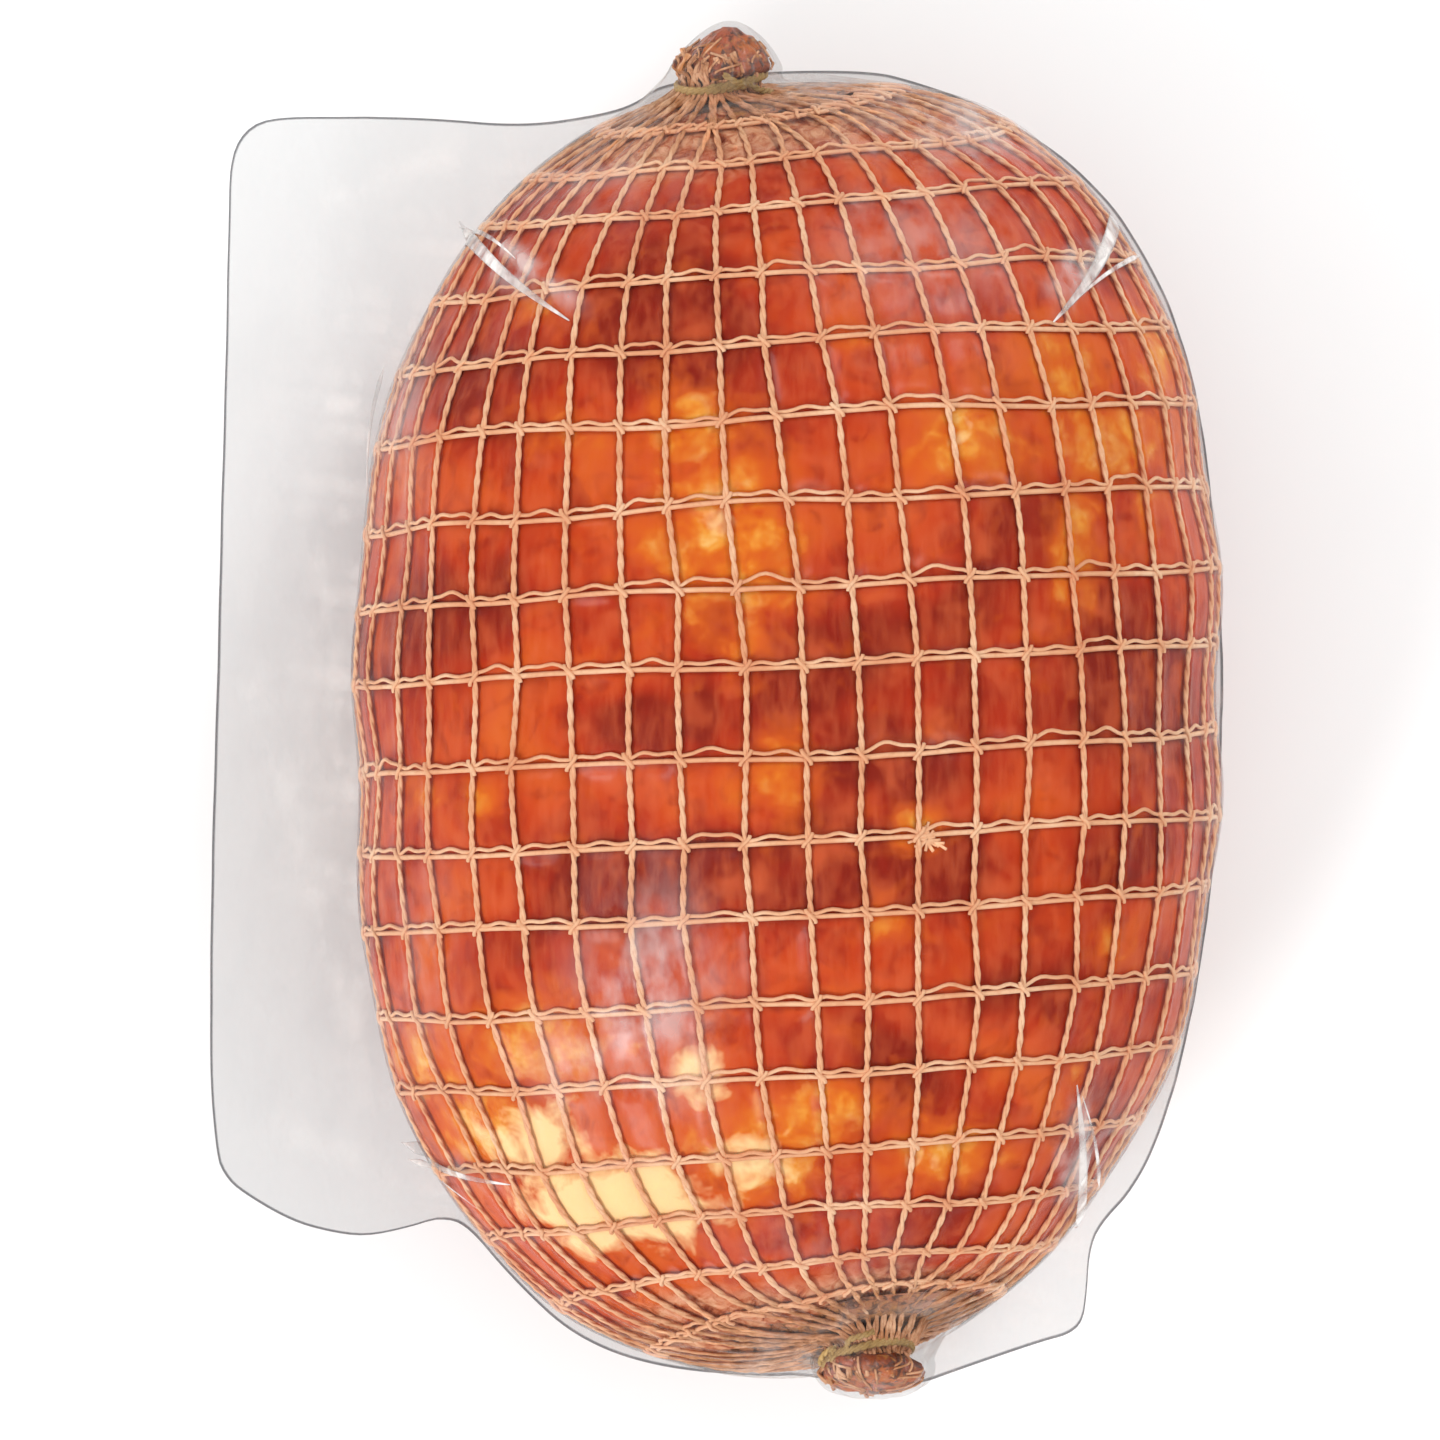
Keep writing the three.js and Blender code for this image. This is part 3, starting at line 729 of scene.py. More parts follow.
def add_ham():
    wale, row = np.meshgrid(
        np.arange(WALES * ACROSS_STEPS) / ACROSS_STEPS,
        np.linspace(-0.99, LAST_ROW + 0.99, (LAST_ROW + 2) * ALONG_STEPS + 1),
    )
    points, normals = surface(wale, row)
    lift = pillow(wale, row) + lumps(points) + BELLY_DROP * pressed(points)
    # How near each point lies to a cord, which drives the painted shade in the grooves beside the cords.
    groove = np.minimum(np.abs(wale - np.round(wale)) * 9.4, np.abs(row - np.round(row)) * 13.8) / 2
    fat = np.maximum(patch_mask(points, FAT_PATCHES), hidden_fat(points))
    gather = np.maximum(smoothstep(LAST_ROW - 2.2, LAST_ROW + 0.1, row), smoothstep(1.5, -0.3, row))
    ends = gather > 0
    lift[ends] += gather[ends] * crumple(points[ends], 3.2, 1) * 0.5
    skin = points + normals * lift[..., None]
    skin[..., 2] = np.maximum(skin[..., 2], 0.35 - SHIFT[2] * 1000)
    tips = [neck_frame(neck)[0] for neck in (BOTTOM_NECK, TOP_NECK)]
    rows, columns = wale.shape
    faces = grid_faces(rows, columns, True).tolist()
    end = rows * columns
    for column in range(columns):
        beside = (column + 1) % columns
        faces.append([end, column, beside])
        faces.append([end + 1, end - columns + beside, end - columns + column])
    cream, dark = patch_mask(points, CREAM_PATCHES), patch_mask(points, DARK_PATCHES)
    values = [np.append(v.ravel(), (v[0, 0], v[-1, 0])) for v in (fat, cream, dark, groove, gather)]
    names = ("fat", "cream", "dark", "groove", "gather")
    points = np.concatenate([skin.reshape(-1, 3), tips])
    piece("ham_meat", points, faces, meat_material(), "ham", "meat", **dict(zip(names, values)))


# ---- Netting ----
CORE = 0.43  # half the width of a ring's straight core
PLY = 0.35  # half the width of one ply of a wale
PLY_APART = 0.25
SLACK = rng.uniform(0.01, 0.05, (WALES, LAST_ROW + 1)) + 0.06 * (rng.random((WALES, LAST_ROW + 1)) > 0.72)


def cord_height(points):
    return CORD_LIFT + lumps(points) + BELLY_DROP * pressed(points)


def neck_path(neck, turns, steps, seed):
    """Knots of the strands from the skirt through the tie to the cut tuft, as points [strand, step, 3]."""
    side = np.random.default_rng(seed)
    count = len(turns)
    stops = [(1.3, 7.7), (2.8, 6.6), (4.4, 6.9), (5.9, 7.5), (7.6, 6.4)]
    knots = []
    for k, (distance, radius) in enumerate(stops):
        stray = 0.12 + 0.3 * k
        spread = side.normal(0, stray * 0.5, count)
        knots.append(
            around_neck(
                neck, distance + side.normal(0, 0.15 + stray * 0.3, count),
                radius + spread, turns + spread * 0.12
            )
        )
    return knots


def girth_turn(wales):
    return np.interp(np.mod(wales / WALES, 1), GIRTH_SHARES, TURNS)


def wale_paths():
    """Middle lines and normals of all wales, from one neck to the other."""
    rows = np.linspace(-0.62, LAST_ROW + 0.5, int((LAST_ROW + 1.12) * 11))
    wales = np.arange(WALES)[:, None]
    skirt = np.maximum(smoothstep(0.9, -0.4, rows), smoothstep(LAST_ROW - 1.2, LAST_ROW + 0.3, rows))
    drift = rng.normal(0, 0.38, (WALES, 2))
    clumps = np.where(rows < 8, drift[:, :1], drift[:, 1:]) * skirt
    points, normals = surface(wales + clumps, np.broadcast_to(rows, (WALES, len(rows))))
    points = points + normals * cord_height(points)[..., None]
    turns = girth_turn(wales[:, 0])
    for neck, place in ((BOTTOM_NECK, 0), (TOP_NECK, -1)):
        knots = neck_path(neck, turns, 4, 11 + place)
        ends = spline(np.array([points[:, place], *knots]), 7)[1:]
        tip, axis, _, _ = neck_frame(neck)
        away = ends - tip
        away -= (away @ axis)[..., None] * axis
        away /= np.linalg.norm(away, axis=-1, keepdims=True)
        ends, away = ends.transpose(1, 0, 2), away.transpose(1, 0, 2)
        if place == 0:
            points = np.concatenate([ends[:, ::-1], points], 1)
            normals = np.concatenate([away[:, ::-1], normals], 1)
        else:
            points = np.concatenate([points, ends], 1)
            normals = np.concatenate([normals, away], 1)
    extra = len(points[0]) - len(rows)
    skirt = np.concatenate([np.ones(extra // 2), skirt, np.ones(extra - extra // 2)])
    return points, normals, np.broadcast_to(skirt, points.shape[:2])


def twisted(points, normals, apart, twists):
    """Two plies wound round a middle line. Twists holds the turns done at each step."""
    tangents = np.gradient(points, axis=1)
    tangents /= np.linalg.norm(tangents, axis=-1, keepdims=True)
    sideways = np.cross(tangents, normals)
    sideways /= np.linalg.norm(sideways, axis=-1, keepdims=True)
    angle = 2 * np.pi * twists[..., None]
    offset = (np.cos(angle) * sideways + np.sin(angle) * normals * 0.7) * apart
    return points + offset, points - offset


def add_wales(material):
    points, normals, skirt = wale_paths()
    steps = np.linalg.norm(np.diff(points, axis=1), axis=-1)
    lengths = np.concatenate([np.zeros((WALES, 1)), np.cumsum(steps, 1)], 1)
    twists = lengths / 6.4 + rng.random((WALES, 1))
    one, other = twisted(points, normals, PLY_APART, twists)
    parts = [sweep(path, normals, PLY, PLY * 0.9, 5) for path in (one, other)]
    gather = np.tile(np.repeat(skirt.ravel(), 5), 2)
    piece("net_wales", *joined(parts), material, "netting", "net_yarn", gather=gather)


def ring_paths(rise, arch, lift, steps):
    """Middle lines and normals of all rings. Arch is how far they bow to the next row between wales."""
    wales = np.arange(WALES * steps) / steps
    rows = np.arange(LAST_ROW + 1)[:, None]
    between = np.mod(wales, 1)
    cell = np.floor(wales).astype(int)
    bow = arch[cell][:, : LAST_ROW + 1].T * np.sin(np.pi * between) ** 0.8 + rise
    bow = bow + rise * 0.35 * np.sin(2 * np.pi * 1.7 * wales + 2.3 * rows)
    points, normals = surface(np.broadcast_to(wales, bow.shape), rows + bow)
    height = cord_height(points) + lift * np.sin(np.pi * between)[None]
    return points + normals * height[..., None], normals


def add_rings(material):
    steps = 10
    core, core_normals = ring_paths(0.0, SLACK * 0.12, -0.1, steps)
    slack, slack_normals = ring_paths(0.05, SLACK, 0.12, steps)
    wander = np.cumsum(rng.normal(0, 1, core.shape[:2]), 1)
    wander -= np.linspace(0, 1, core.shape[1]) * wander[:, -1:]
    width = CORE * (1 + 0.06 * np.sin(wander * 0.8))
    parts = [
        sweep(core, core_normals, width, width * 0.85, 6, closed=True),
        sweep(slack, slack_normals, 0.34, 0.32, 5, closed=True),
    ]
    piece("net_rings", *joined(parts), material, "netting", "net_yarn")


def add_stitches(material):
    """The small loops that bind a wale over each ring, and the fluff of one knot."""
    rows = np.arange(LAST_ROW + 1)
    wales, rows = (grid.ravel() for grid in np.meshgrid(np.arange(WALES), rows))
    steps = 9
    turn = np.linspace(-1.05, 1.05, steps)
    side = rng.choice([-1, 1], len(wales))[:, None]
    narrow = np.clip(fullness(np.interp(rows, ROWS, PLACES)), 0.25, 1)[:, None]
    across = wales[:, None] + side * 0.085 * np.sin(turn * 1.5) / narrow
    along = rows[:, None] + 0.085 * turn + 0.02
    points, normals = surface(across, along)
    height = cord_height(points) + 0.5 * np.cos(turn)[None]
    points = points + normals * height[..., None]
    parts = [sweep(points, normals, 0.36, 0.32, 5)]
    (knot,), (upwards,) = surface(np.array([KNOT_WALE]), np.array([KNOT_ROW]))
    sideways = np.cross((0.0, 1.0, 0.0), upwards)
    sideways /= np.linalg.norm(sideways)
    onwards = np.cross(upwards, sideways)
    count = 22
    heading = np.linspace(0, 2 * np.pi, count, endpoint=False) + rng.normal(0, 0.2, count)
    reach = rng.uniform(0.9, 2.4, count) + 1.2 * (rng.random(count) > 0.6)
    aim = np.cos(heading)[:, None] * sideways + np.sin(heading)[:, None] * onwards
    curl = np.cross(upwards, aim) * rng.normal(0, 0.35, count)[:, None]
    t = np.linspace(0.05, 1, 7)[None, :, None]
    hair = knot + upwards * (1.3 - 0.25 * t) + reach[:, None, None] * (aim[:, None] * t + curl[:, None] * t**2)
    parts.append(sweep(hair, np.broadcast_to(upwards, hair.shape), 0.26, 0.2, 5))
    piece("net_stitches", *joined(parts), material, "netting", "net_yarn")


KNOT_WALE, KNOT_ROW = 8.85, 6.95


# ---- The gathered ends ----
def gathered_core(neck, row_from):
    """The bunched net and casing inside the strands, as points, faces and the share along it."""
    side = neck["side"]
    columns = 176
    wales = np.arange(columns) * WALES / columns
    turns = girth_turn(wales)
    inner = row_from + np.linspace(0, 1, 9) * side * 0.62
    rows = []
    for row in inner:
        points, normals = surface(wales, np.full(columns, row))
        rows.append(points + normals * 0.35)
    share = np.linspace(0, 0.3, len(rows)).tolist()
    phase = rng.uniform(0, 6.3, 4)
    for k, (distance, radius) in enumerate(neck["tuft"]):
        pleat = np.sin(turns * 13 + phase[0] + 0.25 * k) + 0.7 * np.sin(turns * 21 + phase[1] - 0.2 * k)
        lump = np.sin(turns * 3 + phase[2] + k) + np.sin(turns * 5 + phase[3] - 0.7 * k)
        deep = min(1.0, radius / 7)
        loop = around_neck(neck, distance, radius * (1 + 0.03 * pleat * deep + 0.04 * lump), turns)
        rows.append(loop + np.array([NUB_LEAN * distance, 0, 0]))
    share += np.linspace(0.36, 1.0, len(neck["tuft"])).tolist()
    points = np.concatenate([*rows, neck_tip(neck, "tuft")[None]])
    tip, _, _, _ = neck_frame(neck)
    away = points - tip
    away /= np.linalg.norm(away, axis=-1, keepdims=True)
    rough = np.interp(np.arange(len(points)) / columns, (0, 6, len(rows)), (0.15, 0.35, 0.75))
    points = points + away * (crumple(points, 2.6, side + 3) * rough)[:, None]
    faces = grid_faces(len(rows), columns, True).tolist()
    start, tip = (len(rows) - 1) * columns, len(rows) * columns
    faces += [[start + k, tip, start + (k + 1) % columns] for k in range(columns)]
    if side < 0:
        faces = [face[::-1] for face in faces]
    along = np.append(np.repeat(share, columns), 1.0)
    return points, faces, along


def tuft_strands(neck, count):
    """Frayed ends that stand out of the gathered net."""
    turns = rng.uniform(0, 2 * np.pi, count)[:, None]
    start = rng.uniform(4.2, 8.8, count)[:, None]
    reach = rng.uniform(1.0, 3.2, count)[:, None]
    t = np.linspace(0, 1, 7)[None]
    bend = rng.normal(0, 0.3, count)[:, None]
    distance = np.minimum(start + reach * t, neck["tuft"][-1][0] + 0.4)
    radius = np.interp(distance, *zip(*neck["tuft"])) + 0.25 + rng.uniform(0, 0.35, count)[:, None]
    points = around_neck(neck, distance, radius, turns + bend * t * t)
    return points + NUB_LEAN * distance[..., None] * (1.0, 0, 0)


def add_gathered_ends(core_material, yarn):
    for name, neck, row in (("bottom", BOTTOM_NECK, -0.2), ("top", TOP_NECK, LAST_ROW + 0.2)):
        points, faces, along = gathered_core(neck, row)
        piece("net_gather_" + name, points, faces, core_material, "netting", "net_yarn", along=along)
        strands = tuft_strands(neck, 26)
        normals = np.broadcast_to((0.0, 0.0, 1.0), strands.shape)
        points, faces = sweep(strands, normals, 0.22, 0.2, 5)
        piece("net_tuft_" + name, points, faces, yarn, "netting", "net_yarn", gather=np.ones(len(points)))


# ---- Twine ties ----
def twine_line(neck, start):
    """A line of twine wound round the neck, crossing over itself; add_tie gives it two short ends."""
    turns = np.linspace(start, start + 2 * np.pi * 2.15, 110)
    share = np.linspace(0, 1, 110)
    distance = 2.4 + 0.8 * share + neck["tilt"] * np.cos(turns) + 0.25 * np.sin(turns * 2 + start)
    radius = 7.6 + 0.12 * np.sin(turns * 3)
    return around_neck(neck, distance, radius, turns)


def add_tie(name, neck, start, material):
    tip, axis, _, _ = neck_frame(neck)
    middle = twine_line(neck, start)
    away = middle - tip
    away -= (away @ axis)[:, None] * axis
    away /= np.linalg.norm(away, axis=-1, keepdims=True)
    ends = []
    for place, heading in ((0, -1), (-1, 1)):
        knots = [
            middle[place],
            around_neck(neck, 2.6 + 0.5 * heading, 9.0, start + 0.16 * heading),
            around_neck(neck, 2.8 + 1.2 * heading, 9.4, start + 0.42 * heading),
            around_neck(neck, 3.0 + 2.2 * heading, 9.1, start + 0.62 * heading),
        ]
        ends.append(spline(np.array(knots), 8)[1:])
    path = np.concatenate([ends[0][::-1], middle, ends[1]])
    normals = np.concatenate([np.tile(away[0], (24, 1)), away, np.tile(away[-1], (24, 1))])
    lengths = np.concatenate([[0], np.cumsum(np.linalg.norm(np.diff(path, axis=0), axis=-1))])
    finer = np.linspace(0, lengths[-1], int(lengths[-1] / 0.35))
    path = np.stack([np.interp(finer, lengths, path[:, k]) for k in range(3)], -1)[None]
    normals = np.stack([np.interp(finer, lengths, normals[:, k]) for k in range(3)], -1)[None]
    plies = twisted(path, normals, 0.26, finer[None] / 2.6)
    parts = [sweep(ply, normals, 0.36, 0.33, 7) for ply in plies]
    piece("wound_" + name, *joined(parts), material, name, "twine")


# ---- Vacuum pouch ----
# The pouch's outline seen from above, in mm of the ham's frame, without the two gathered ends.
# Many points are readings of the photo's silhouette by a scratch program, not a drawn shape: see report.md.
OUTLINE = [
    (-22, 111.5), (-3, 113.4), (14.4, 113.4), (21.6, 111.7), (36, 106.5), (51.4, 95.8),
    (60, 85.3), (68, 69.7), (72.9, 49), (75.4, 17.7), (75.8, 7.3), (75.1, -13.6),
    (73.1, -34.5), (69.5, -55.3), (65.1, -71), (60.2, -81.2), (55, -86.7), (52.6, -91),
    (52.1, -100), (51.4, -104.5), (48.8, -106.6), (44.9, -107.5), (29.9, -112.7), (22, -115.6),
    (12, -115.2), (1.4, -113.6), (-3, -114.1), (-22.8, -112.7), (-37, -107.5), (-48.2, -97),
    (-56, -87.5), (-60.4, -85.3), (-64, -86.6), (-72.6, -88.6), (-79.5, -88), (-86.5, -86.3),
    (-95.7, -81.4), (-98, -79), (-99.5, -76.2), (-100.9, -60), (-100.2, -13.6), (-98.9, 30),
    (-98.1, 54.3), (-97.3, 90.8), (-97.1, 96.5), (-96, 101), (-93, 104.2), (-88, 105),
    (-75, 104.2), (-62, 103.9), (-46.5, 104), (-32.5, 106), (-26, 108),
]


def seal_level(x):
    """The height of the seal's plane, and of the wide flap that droops beside it."""
    plane = SEAL_AT_SIDE + SEAL_SLOPE * (x + HALF_WIDTH)
    xs, zs = zip(*DROOP)
    return np.where(x < -HALF_WIDTH, np.interp(x, xs, zs), plane)


OUTLINE_STEPS = (0.0, 0.25, 0.5, 0.75)  # from one point of the rounded outline to the next


def polar(points):
    """Directions and distances from the ham's axis, seen from above, in order of direction."""
    points = np.asarray(points, float)
    angle = np.arctan2(points[:, 1], points[:, 0])
    order = np.argsort(angle)
    return angle[order], np.hypot(points[:, 0], points[:, 1])[order]


def rounded(corners):
    """A closed line with its corners cut off three times over, which leaves smooth curves."""
    for _ in range(3):
        following = np.roll(corners, -1, 0)
        cut = np.stack([0.75 * corners + 0.25 * following, 0.25 * corners + 0.75 * following], 1)
        corners = cut.reshape(-1, 2)
    return corners


def outline_reach(angle):
    """How far out the pouch's edge lies in each direction seen from above."""
    corners = np.array(OUTLINE, float)
    lower = 1 - np.where(corners[:, 0] < -60, -24.0, -9.0) / (VIEW_HEIGHT * 1000)
    corners = rounded(CAMERA_AXIS + (corners - CAMERA_AXIS) * lower[:, None])
    following = np.roll(corners, -1, 0)
    parts = [start + (end - start) * step for start, end in zip(corners, following) for step in OUTLINE_STEPS]
    directions, distances = polar(parts)
    return np.interp(angle, directions, distances, period=2 * np.pi)


# Lines where the wide flap is lightly folded, as two ends seen from above in mm.
FLAP_FOLDS = [
    ((-95, 6), (-72, -66)), ((-84, 30), (-78, -10)), ((-90, -72), (-70, -80)), ((-82, 92), (-60, 100)),
]

# Creases that tent the film, as two ends seen from above in mm, and the height of each.
CREASES = [
    ((-50, 82), (-34, 68), 2.2),
    ((-51, 76), (-38, 70), 1.4),
    ((54, 83), (44, 68), 2.2),
    ((48, 79), (42, 70), 1.2),
    ((-62, -73), (-48, -78), 1.8),
    ((-60, -77), (-50, -79), 1.2),
    ((49, -86), (48, -62), 2.0),
    ((45, -80), (47, -66), 1.3),
]


# Painted highlights: patches where the film is made milky white to stand for soft glare, given as the fat's
# patches.
PAINTED_GLARE_PATCHES = [
    (22, 78, 13, 9, 0.45),
    (-23, -45, 8, 13, 1.0),
    (-34, -56, 6, 7, 0.6),
    (3, -88, 14, 8, 0.2),
    (32, 101, 18, 6, 0.9),
    (-34, 92, 12, 7, 0.4),
    (-62, -40, 6, 16, 0.3),
    (-68, 56, 5, 14, 0.8),
    (56, -72, 8, 10, 0.4),
]


def crease_height(points):
    total = np.zeros(points.shape[:-1])
    for start, end, height in CREASES:
        start, end = np.array(start, float), np.array(end, float)
        along = end - start
        share = np.clip(((points[..., :2] - start) @ along) / (along @ along), 0, 1)
        away = np.linalg.norm(points[..., :2] - start - share[..., None] * along, axis=-1)
        fade = np.sin(np.pi * np.clip(share * 0.9 + 0.08, 0, 1)) ** 0.7
        total = np.maximum(total, height * fade * np.clip(1 - away / 2.6, 0, 1) * (points[..., 2] > 0))
    return total


def blurred(height):
    """Heights of a closed grid averaged with their neighbours, round the ham and along it."""
    round_ = (np.roll(height, 1, 1) + 2 * height + np.roll(height, -1, 1)) / 4
    padded = np.concatenate([round_[:1], round_, round_[-1:]])
    return (padded[:-2] + 2 * padded[1:-1] + padded[2:]) / 4


FILM_ACROSS, FILM_ALONG = 9, 13  # of the film's grid in each cell of the net
FILM_RIDGE = 1.34  # from the smooth ham to the film's top over a cord


def pouch_body():
    """The film drawn tight over meat, cords and both gathered ends, as its wales, its points, and its
    milkiness with painted glare.
    """
    wales = np.arange(WALES * FILM_ACROSS) / FILM_ACROSS
    rows = np.linspace(-0.46, LAST_ROW + 0.38, int((LAST_ROW + 0.84) * FILM_ALONG) + 1)
    wale, row = np.meshgrid(wales, rows)
    points, normals = surface(wale, row)
    slow = lumps(points) + BELLY_DROP * pressed(points)
    meat = pillow(wale, row) + slow
    narrow = np.clip(fullness(np.interp(row, ROWS, PLACES)), 0.15, 1)
    off_wale = np.abs(wale - np.round(wale)) * 9.4 * narrow
    ring = np.round(row)
    cells = np.floor(wale).astype(int), np.clip(ring, 0, LAST_ROW).astype(int)
    bow = SLACK[cells] * np.sin(np.pi * np.mod(wale, 1)) + 0.03
    off_ring = np.maximum(ring - row, np.maximum(row - ring - bow, 0)) * 13.8
    cord = slow + FILM_RIDGE * np.sqrt(np.clip(1 - (np.minimum(off_wale, off_ring) / 1.25) ** 2, 0, 1))
    base = np.maximum(meat + 0.14, cord)
    height = base
    for _ in range(3):
        height = np.maximum(base, blurred(height))
    gathered = smoothstep(0.35, 0.18, narrow)
    height = height * (1 - gathered) + 2.1 * gathered
    crease = crease_height(points) * smoothstep(0.3, 0.65, normals[..., 2])
    height = height + crease
    skin = points + normals * height[..., None]
    skin[..., 2] = np.maximum(skin[..., 2], 0.05 - SHIFT[2] * 1000)
    # Painted glare: milky patches that stand for soft highlights on the film over the ham.
    painted_glare = 0.4 * patch_mask(points, PAINTED_GLARE_PATCHES)
    return wales, skin, 0.5 * np.clip(crease / 1.6, 0, 1) + 0.15 * gathered + painted_glare


def film_ends(wales, skin, haze):
    """The film's rows from its body over both gathered ends."""
    turns = girth_turn(wales)
    parts, hazes = [skin], [haze]
    for neck, edge in ((BOTTOM_NECK, 0), (TOP_NECK, -1)):
        pinch = 0.35 * np.sin(turns * 9 + 1) + 0.25 * np.sin(turns * 14)
        knots = [skin[edge]]
        for distance, radius in neck["film"]:
            loop = around_neck(neck, distance, radius + pinch * min(1, radius / 8), turns)
            knots.append(loop + np.array([NUB_LEAN * distance, 0, 0]))
        curve = spline(np.array(knots), 5)[1:]
        more = np.full((len(curve), len(wales)), 0.04)
        parts = [curve[::-1], *parts] if edge == 0 else [*parts, curve]
        hazes = [more[::-1], *hazes] if edge == 0 else [*hazes, more]
    return np.concatenate(parts), np.concatenate(hazes)


def closed_film():
    """A bmesh of the whole pouch before it is parted at the seal, with its milkiness and painted glare in a
    float layer.
    """
    wales, skin, haze = pouch_body()
    skin, haze = film_ends(wales, skin, haze)
    rows, columns, _ = skin.shape
    form = bmesh.new()
    layer = form.verts.layers.float.new("haze")
    tips = [neck_tip(neck, "film") for neck in (BOTTOM_NECK, TOP_NECK)]
    verts = []
    for point, value in zip([*skin.reshape(-1, 3), *tips], [*haze.ravel(), 0.04, 0.04]):
        vert = form.verts.new(point)
        vert[layer] = value
        verts.append(vert)
    for face in grid_faces(rows, columns, True):
        form.faces.new([verts[index] for index in face])
    last = (rows - 1) * columns
    for column in range(columns):
        beside = (column + 1) % columns
        form.faces.new([verts[-2], verts[column], verts[beside]])
        form.faces.new([verts[-1], verts[last + beside], verts[last + column]])
    return form


FLANGE_STEPS = 18
WEBS_APART = 0.16  # from the seal's middle to each web, in mm


def line_distance(x, y, start, end):
    """How far points seen from above lie from a line between two ends."""
    start, end = np.array(start, float), np.array(end, float)
    along = end - start
    share = np.clip(((x - start[0]) * along[0] + (y - start[1]) * along[1]) / (along @ along), 0, 1)
    return np.hypot(x - start[0] - share * along[0], y - start[1] - share * along[1])


def flange_rows(seam, side):
    """Rows of points from the seam out to the pouch's edge, and the milkiness and painted glare of each."""
    angle = np.arctan2(seam[:, 1], seam[:, 0])
    seam_reach = np.hypot(seam[:, 0], seam[:, 1])
    edge_reach = np.maximum(outline_reach(angle), seam_reach + 0.8)
    width = edge_reach - seam_reach
    rows, hazes = [], []
    rim_share = 1 - 0.6 / width
    for step in range(1, FLANGE_STEPS + 2):
        share = np.minimum(step / FLANGE_STEPS, 1) * rim_share if step <= FLANGE_STEPS else np.ones(len(seam))
        reach = seam_reach + width * share
        x, y = np.cos(angle) * reach, np.sin(angle) * reach
        plane = SEAL_AT_SIDE + SEAL_SLOPE * (x + HALF_WIDTH)
        settle = smoothstep(0, 1, np.clip(share * width / 3.0, 0, 1))
        z = plane + (seal_level(x) - plane) * settle
        ripple = 0.5 * np.sin(y * 0.46 + 1.3 * np.sin(x * 0.07)) + 0.35 * np.sin(y * 0.83 + x * 0.12 + 2)
        near = np.exp(-share * width / 7)
        sag = 0.7 * np.sin(y * 0.055 + x * 0.08) + 0.45 * np.sin(y * 0.11 - x * 0.09 + 1)
        edge = 0.3 * np.sin(y * 0.31 + x * 0.23) * share
        z = z + (ripple * near * settle + (sag + edge) * np.clip(width / 20, 0, 1) * share)
        z = z + side * WEBS_APART
        rows.append(np.stack([x, y, z], -1))
        folds = sum(np.exp(-((line_distance(x, y, *fold) / 2.2) ** 2)) for fold in FLAP_FOLDS)
        # Painted highlight: a milky band near the seam on the left flap, broken by the ripples, stands for a
        # glare streak.
        glare = np.exp(-(((y - 56) / 16) ** 2)) * (x < 0) * near
        hazes.append(0.03 + 0.35 * near * settle * np.abs(ripple) + 0.1 * folds + 0.9 * glare * np.abs(ripple))
    return rows, hazes


def add_web(name, form, side, material):
    """One web of the pouch: its half of the drawn film, and the flat border out to the pouch's edge."""
    middle = (-HALF_WIDTH, 0, SEAL_AT_SIDE + side * WEBS_APART)
    upwards = Vector((-SEAL_SLOPE, 0, 1)).normalized()
    half = form.copy()
    keep = dict(clear_inner=True) if side > 0 else dict(clear_outer=True)
    everything = [*half.verts, *half.edges, *half.faces]
    bmesh.ops.bisect_plane(half, geom=everything, plane_co=middle, plane_no=upwards, **keep)
    layer = half.verts.layers.float["haze"]
    rim = sorted(
        (vert for vert in half.verts if vert.is_boundary), key=lambda vert: math.atan2(vert.co.y, vert.co.x)
    )
    seam = np.array([vert.co[:] for vert in rim])
    inner = rim
    rows, hazes = flange_rows(seam, side)
    for row, haze in zip(rows, hazes):
        outer = []
        for point, value in zip(row, haze):
            vert = half.verts.new(point)
            vert[layer] = value
            outer.append(vert)
        for k in range(len(rim)):
            beside = (k + 1) % len(rim)
            half.faces.new([inner[k], outer[k], outer[beside], inner[beside]])
        inner = outer
    half.verts.index_update()
    bmesh.ops.recalc_face_normals(half, faces=half.faces[:])
    if side * sum(face.normal.z * face.calc_area() for face in half.faces) < 0:
        bmesh.ops.reverse_faces(half, faces=half.faces[:])
    points = np.array([vert.co[:] for vert in half.verts])
    haze = [vert[layer] for vert in half.verts]
    faces = [[vert.index for vert in face.verts] for face in half.faces]
    # The outermost row carries rim, where the film is painted darker as a thin dark edge line.
    rim_line = np.zeros(len(points))
    rim_line[[vert.index for vert in outer]] = 1
    half.free()
    piece("clear_" + name, points, faces, material, name, "film", haze=haze, rim=rim_line)


def add_pouch():
    form = closed_film()
    material = film_material()
    add_web("film_upper", form, 1, material)
    add_web("film_lower", form, -1, material)
    add_sharp_folds(material)
    form.free()


# Sharp folds in the film over the ham, as the wide end and the tip seen from above, a bow sideways, and
# half the
# width of the wide end, in mm.
SHARP_FOLDS = [
    ((-57, 87), (-36, 66), 1.6, 1.3),
    ((-57, 86), (-45, 77), -0.8, 0.6),
    ((56, 88), (43, 66), -1.6, 1.6),
    ((60, 80), (44, 67), 0.8, 0.5),
    ((-67, -73), (-46, -77), 1.0, 1.2),
    ((-66, -76), (-52, -82), -0.8, 0.6),
    ((49, -87), (47, -60), 0.6, 1.4),
    ((52, -79), (48, -62), 0.6, 0.5),
    ((-70, 62), (-73, 40), 1.0, 0.4),
]


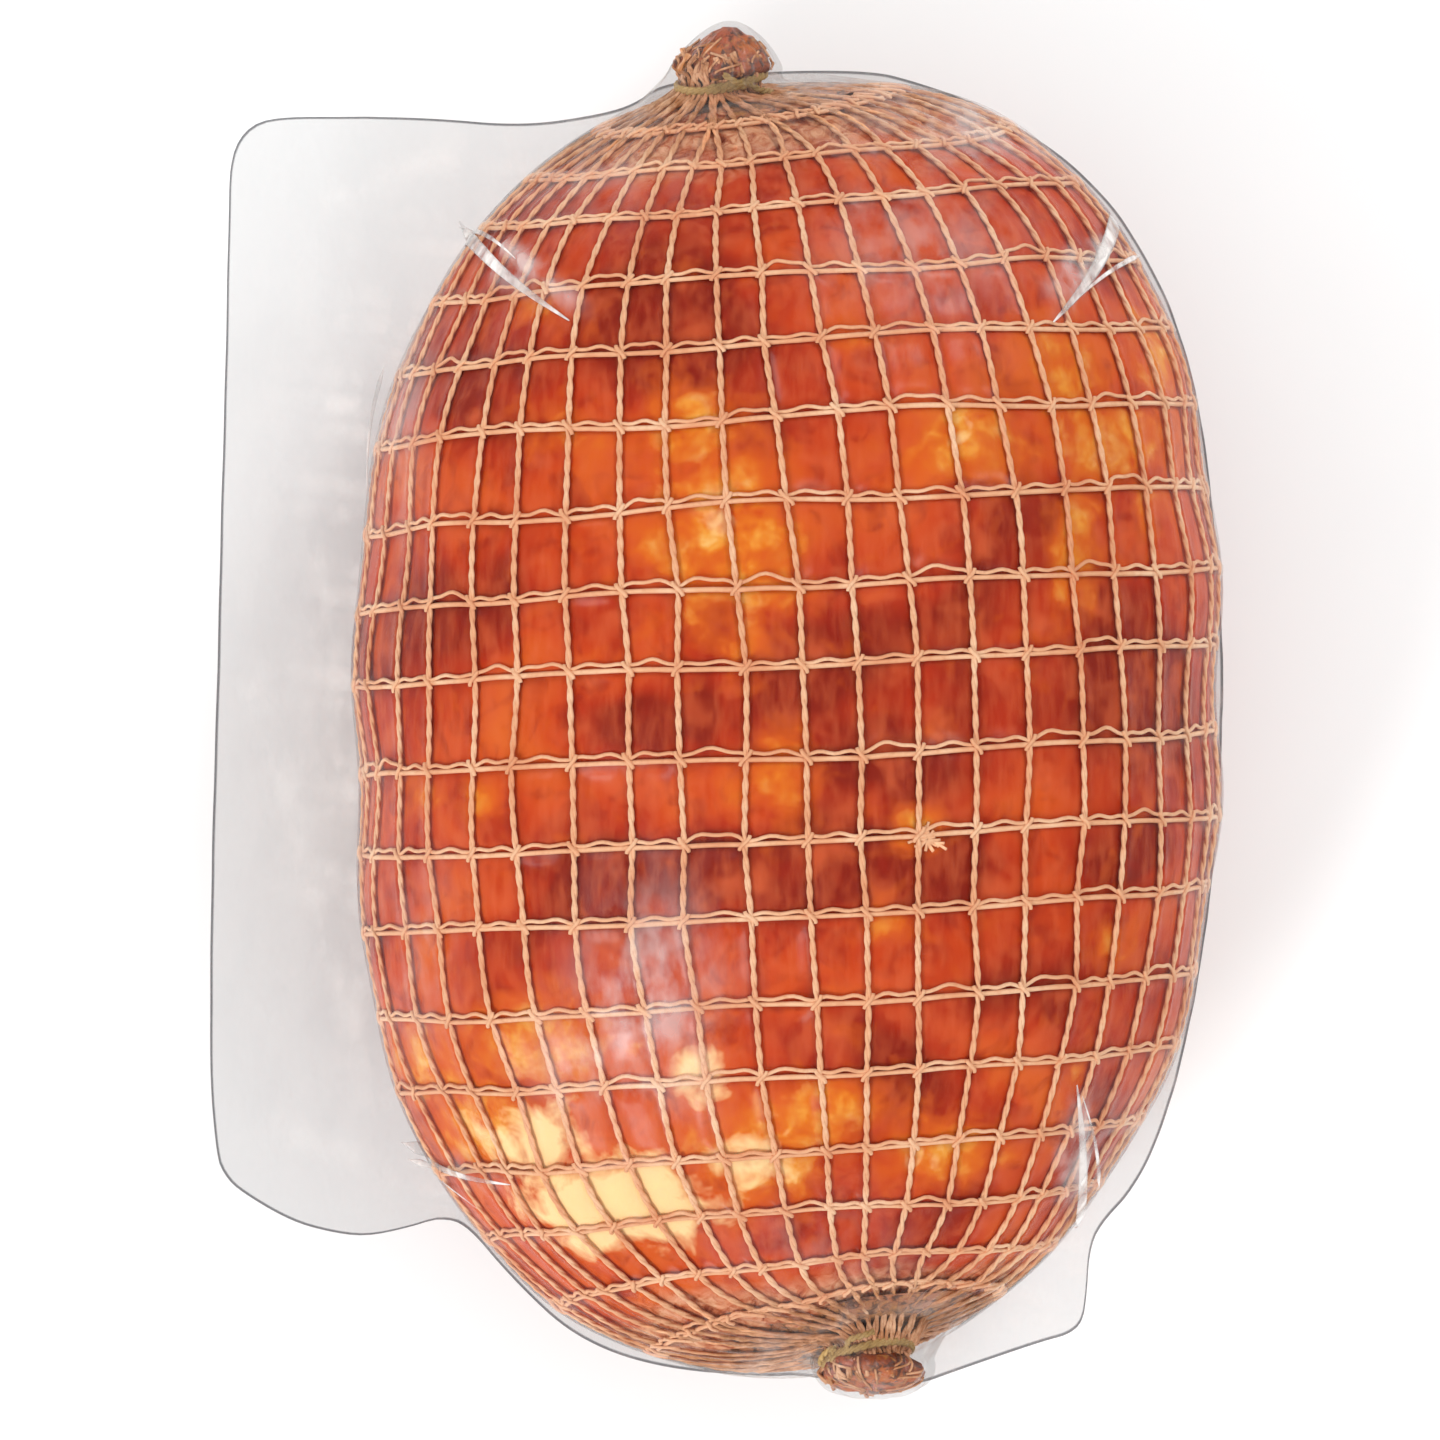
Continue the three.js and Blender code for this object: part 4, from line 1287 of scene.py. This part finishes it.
def crown_height(x, y):
    """The height of the ham's upper surface over places seen from above."""
    run = y - RING_SLANT * x
    steep, round_, end = end_curve(run)
    reach = np.clip((run - WIDEST_AT) / (end - WIDEST_AT), 0, 1)
    parts = (1 - reach**steep) ** (2 * round_ / SQUARENESS)
    return CROWN * np.clip(parts - np.abs(x / HALF_WIDTH) ** (2 / SQUARENESS), 0, 1) ** (SQUARENESS / 2)


def crown_normals(plan):
    x, y = plan.T
    slope_x = crown_height(x + 0.5, y) - crown_height(x - 0.5, y)
    slope_y = crown_height(x, y + 0.5) - crown_height(x, y - 0.5)
    normals = np.column_stack([-slope_x, -slope_y, np.ones(len(plan))])
    return normals / np.linalg.norm(normals, axis=1, keepdims=True)


def add_sharp_folds(material):
    share = np.linspace(0, 1, 40)
    taper = (1 - share) ** 0.8 * smoothstep(0, 0.15, share) + 0.08
    parts = []
    for wide_end, tip, bow, width in SHARP_FOLDS:
        wide_end, tip = np.array(wide_end, float), np.array(tip, float)
        run = tip - wide_end
        sideways = np.array([run[1], -run[0]]) / np.linalg.norm(run)
        plan = wide_end + run * share[:, None] + sideways * (bow * np.sin(np.pi * share))[:, None]
        up = crown_normals(plan)
        path = np.column_stack([plan, crown_height(*plan.T)]) + up * (FILM_RIDGE + 0.1)
        parts.append(sweep(path[None], up[None], width * taper, 0.16 * taper, 6))
    points, faces = joined(parts)
    ones = np.ones(len(points))
    piece("film_folds", points, faces, material, "film_upper", "film", haze=0.9 * ones, rim=0 * ones)


def add_netting():
    tones = (linear(226, 156, 114), linear(236, 178, 136), linear(244, 200, 162))
    yarn = yarn_material("net_yarn", tones, linear(208, 126, 86), linear(176, 116, 72))
    add_wales(yarn)
    add_rings(yarn)
    add_stitches(yarn)
    add_gathered_ends(gathered_material(), yarn)


def add_ties():
    tones = (linear(142, 112, 62), linear(168, 134, 80), linear(194, 160, 104))
    twine = yarn_material("twine", tones, linear(92, 64, 30), linear(150, 126, 78))
    add_tie("twine_tie_top", TOP_NECK, 0.9, twine)
    add_tie("twine_tie_bottom", BOTTOM_NECK, 2.1, twine)


add_camera()
add_studio()
add_ham()
add_netting()
add_ties()
add_pouch()
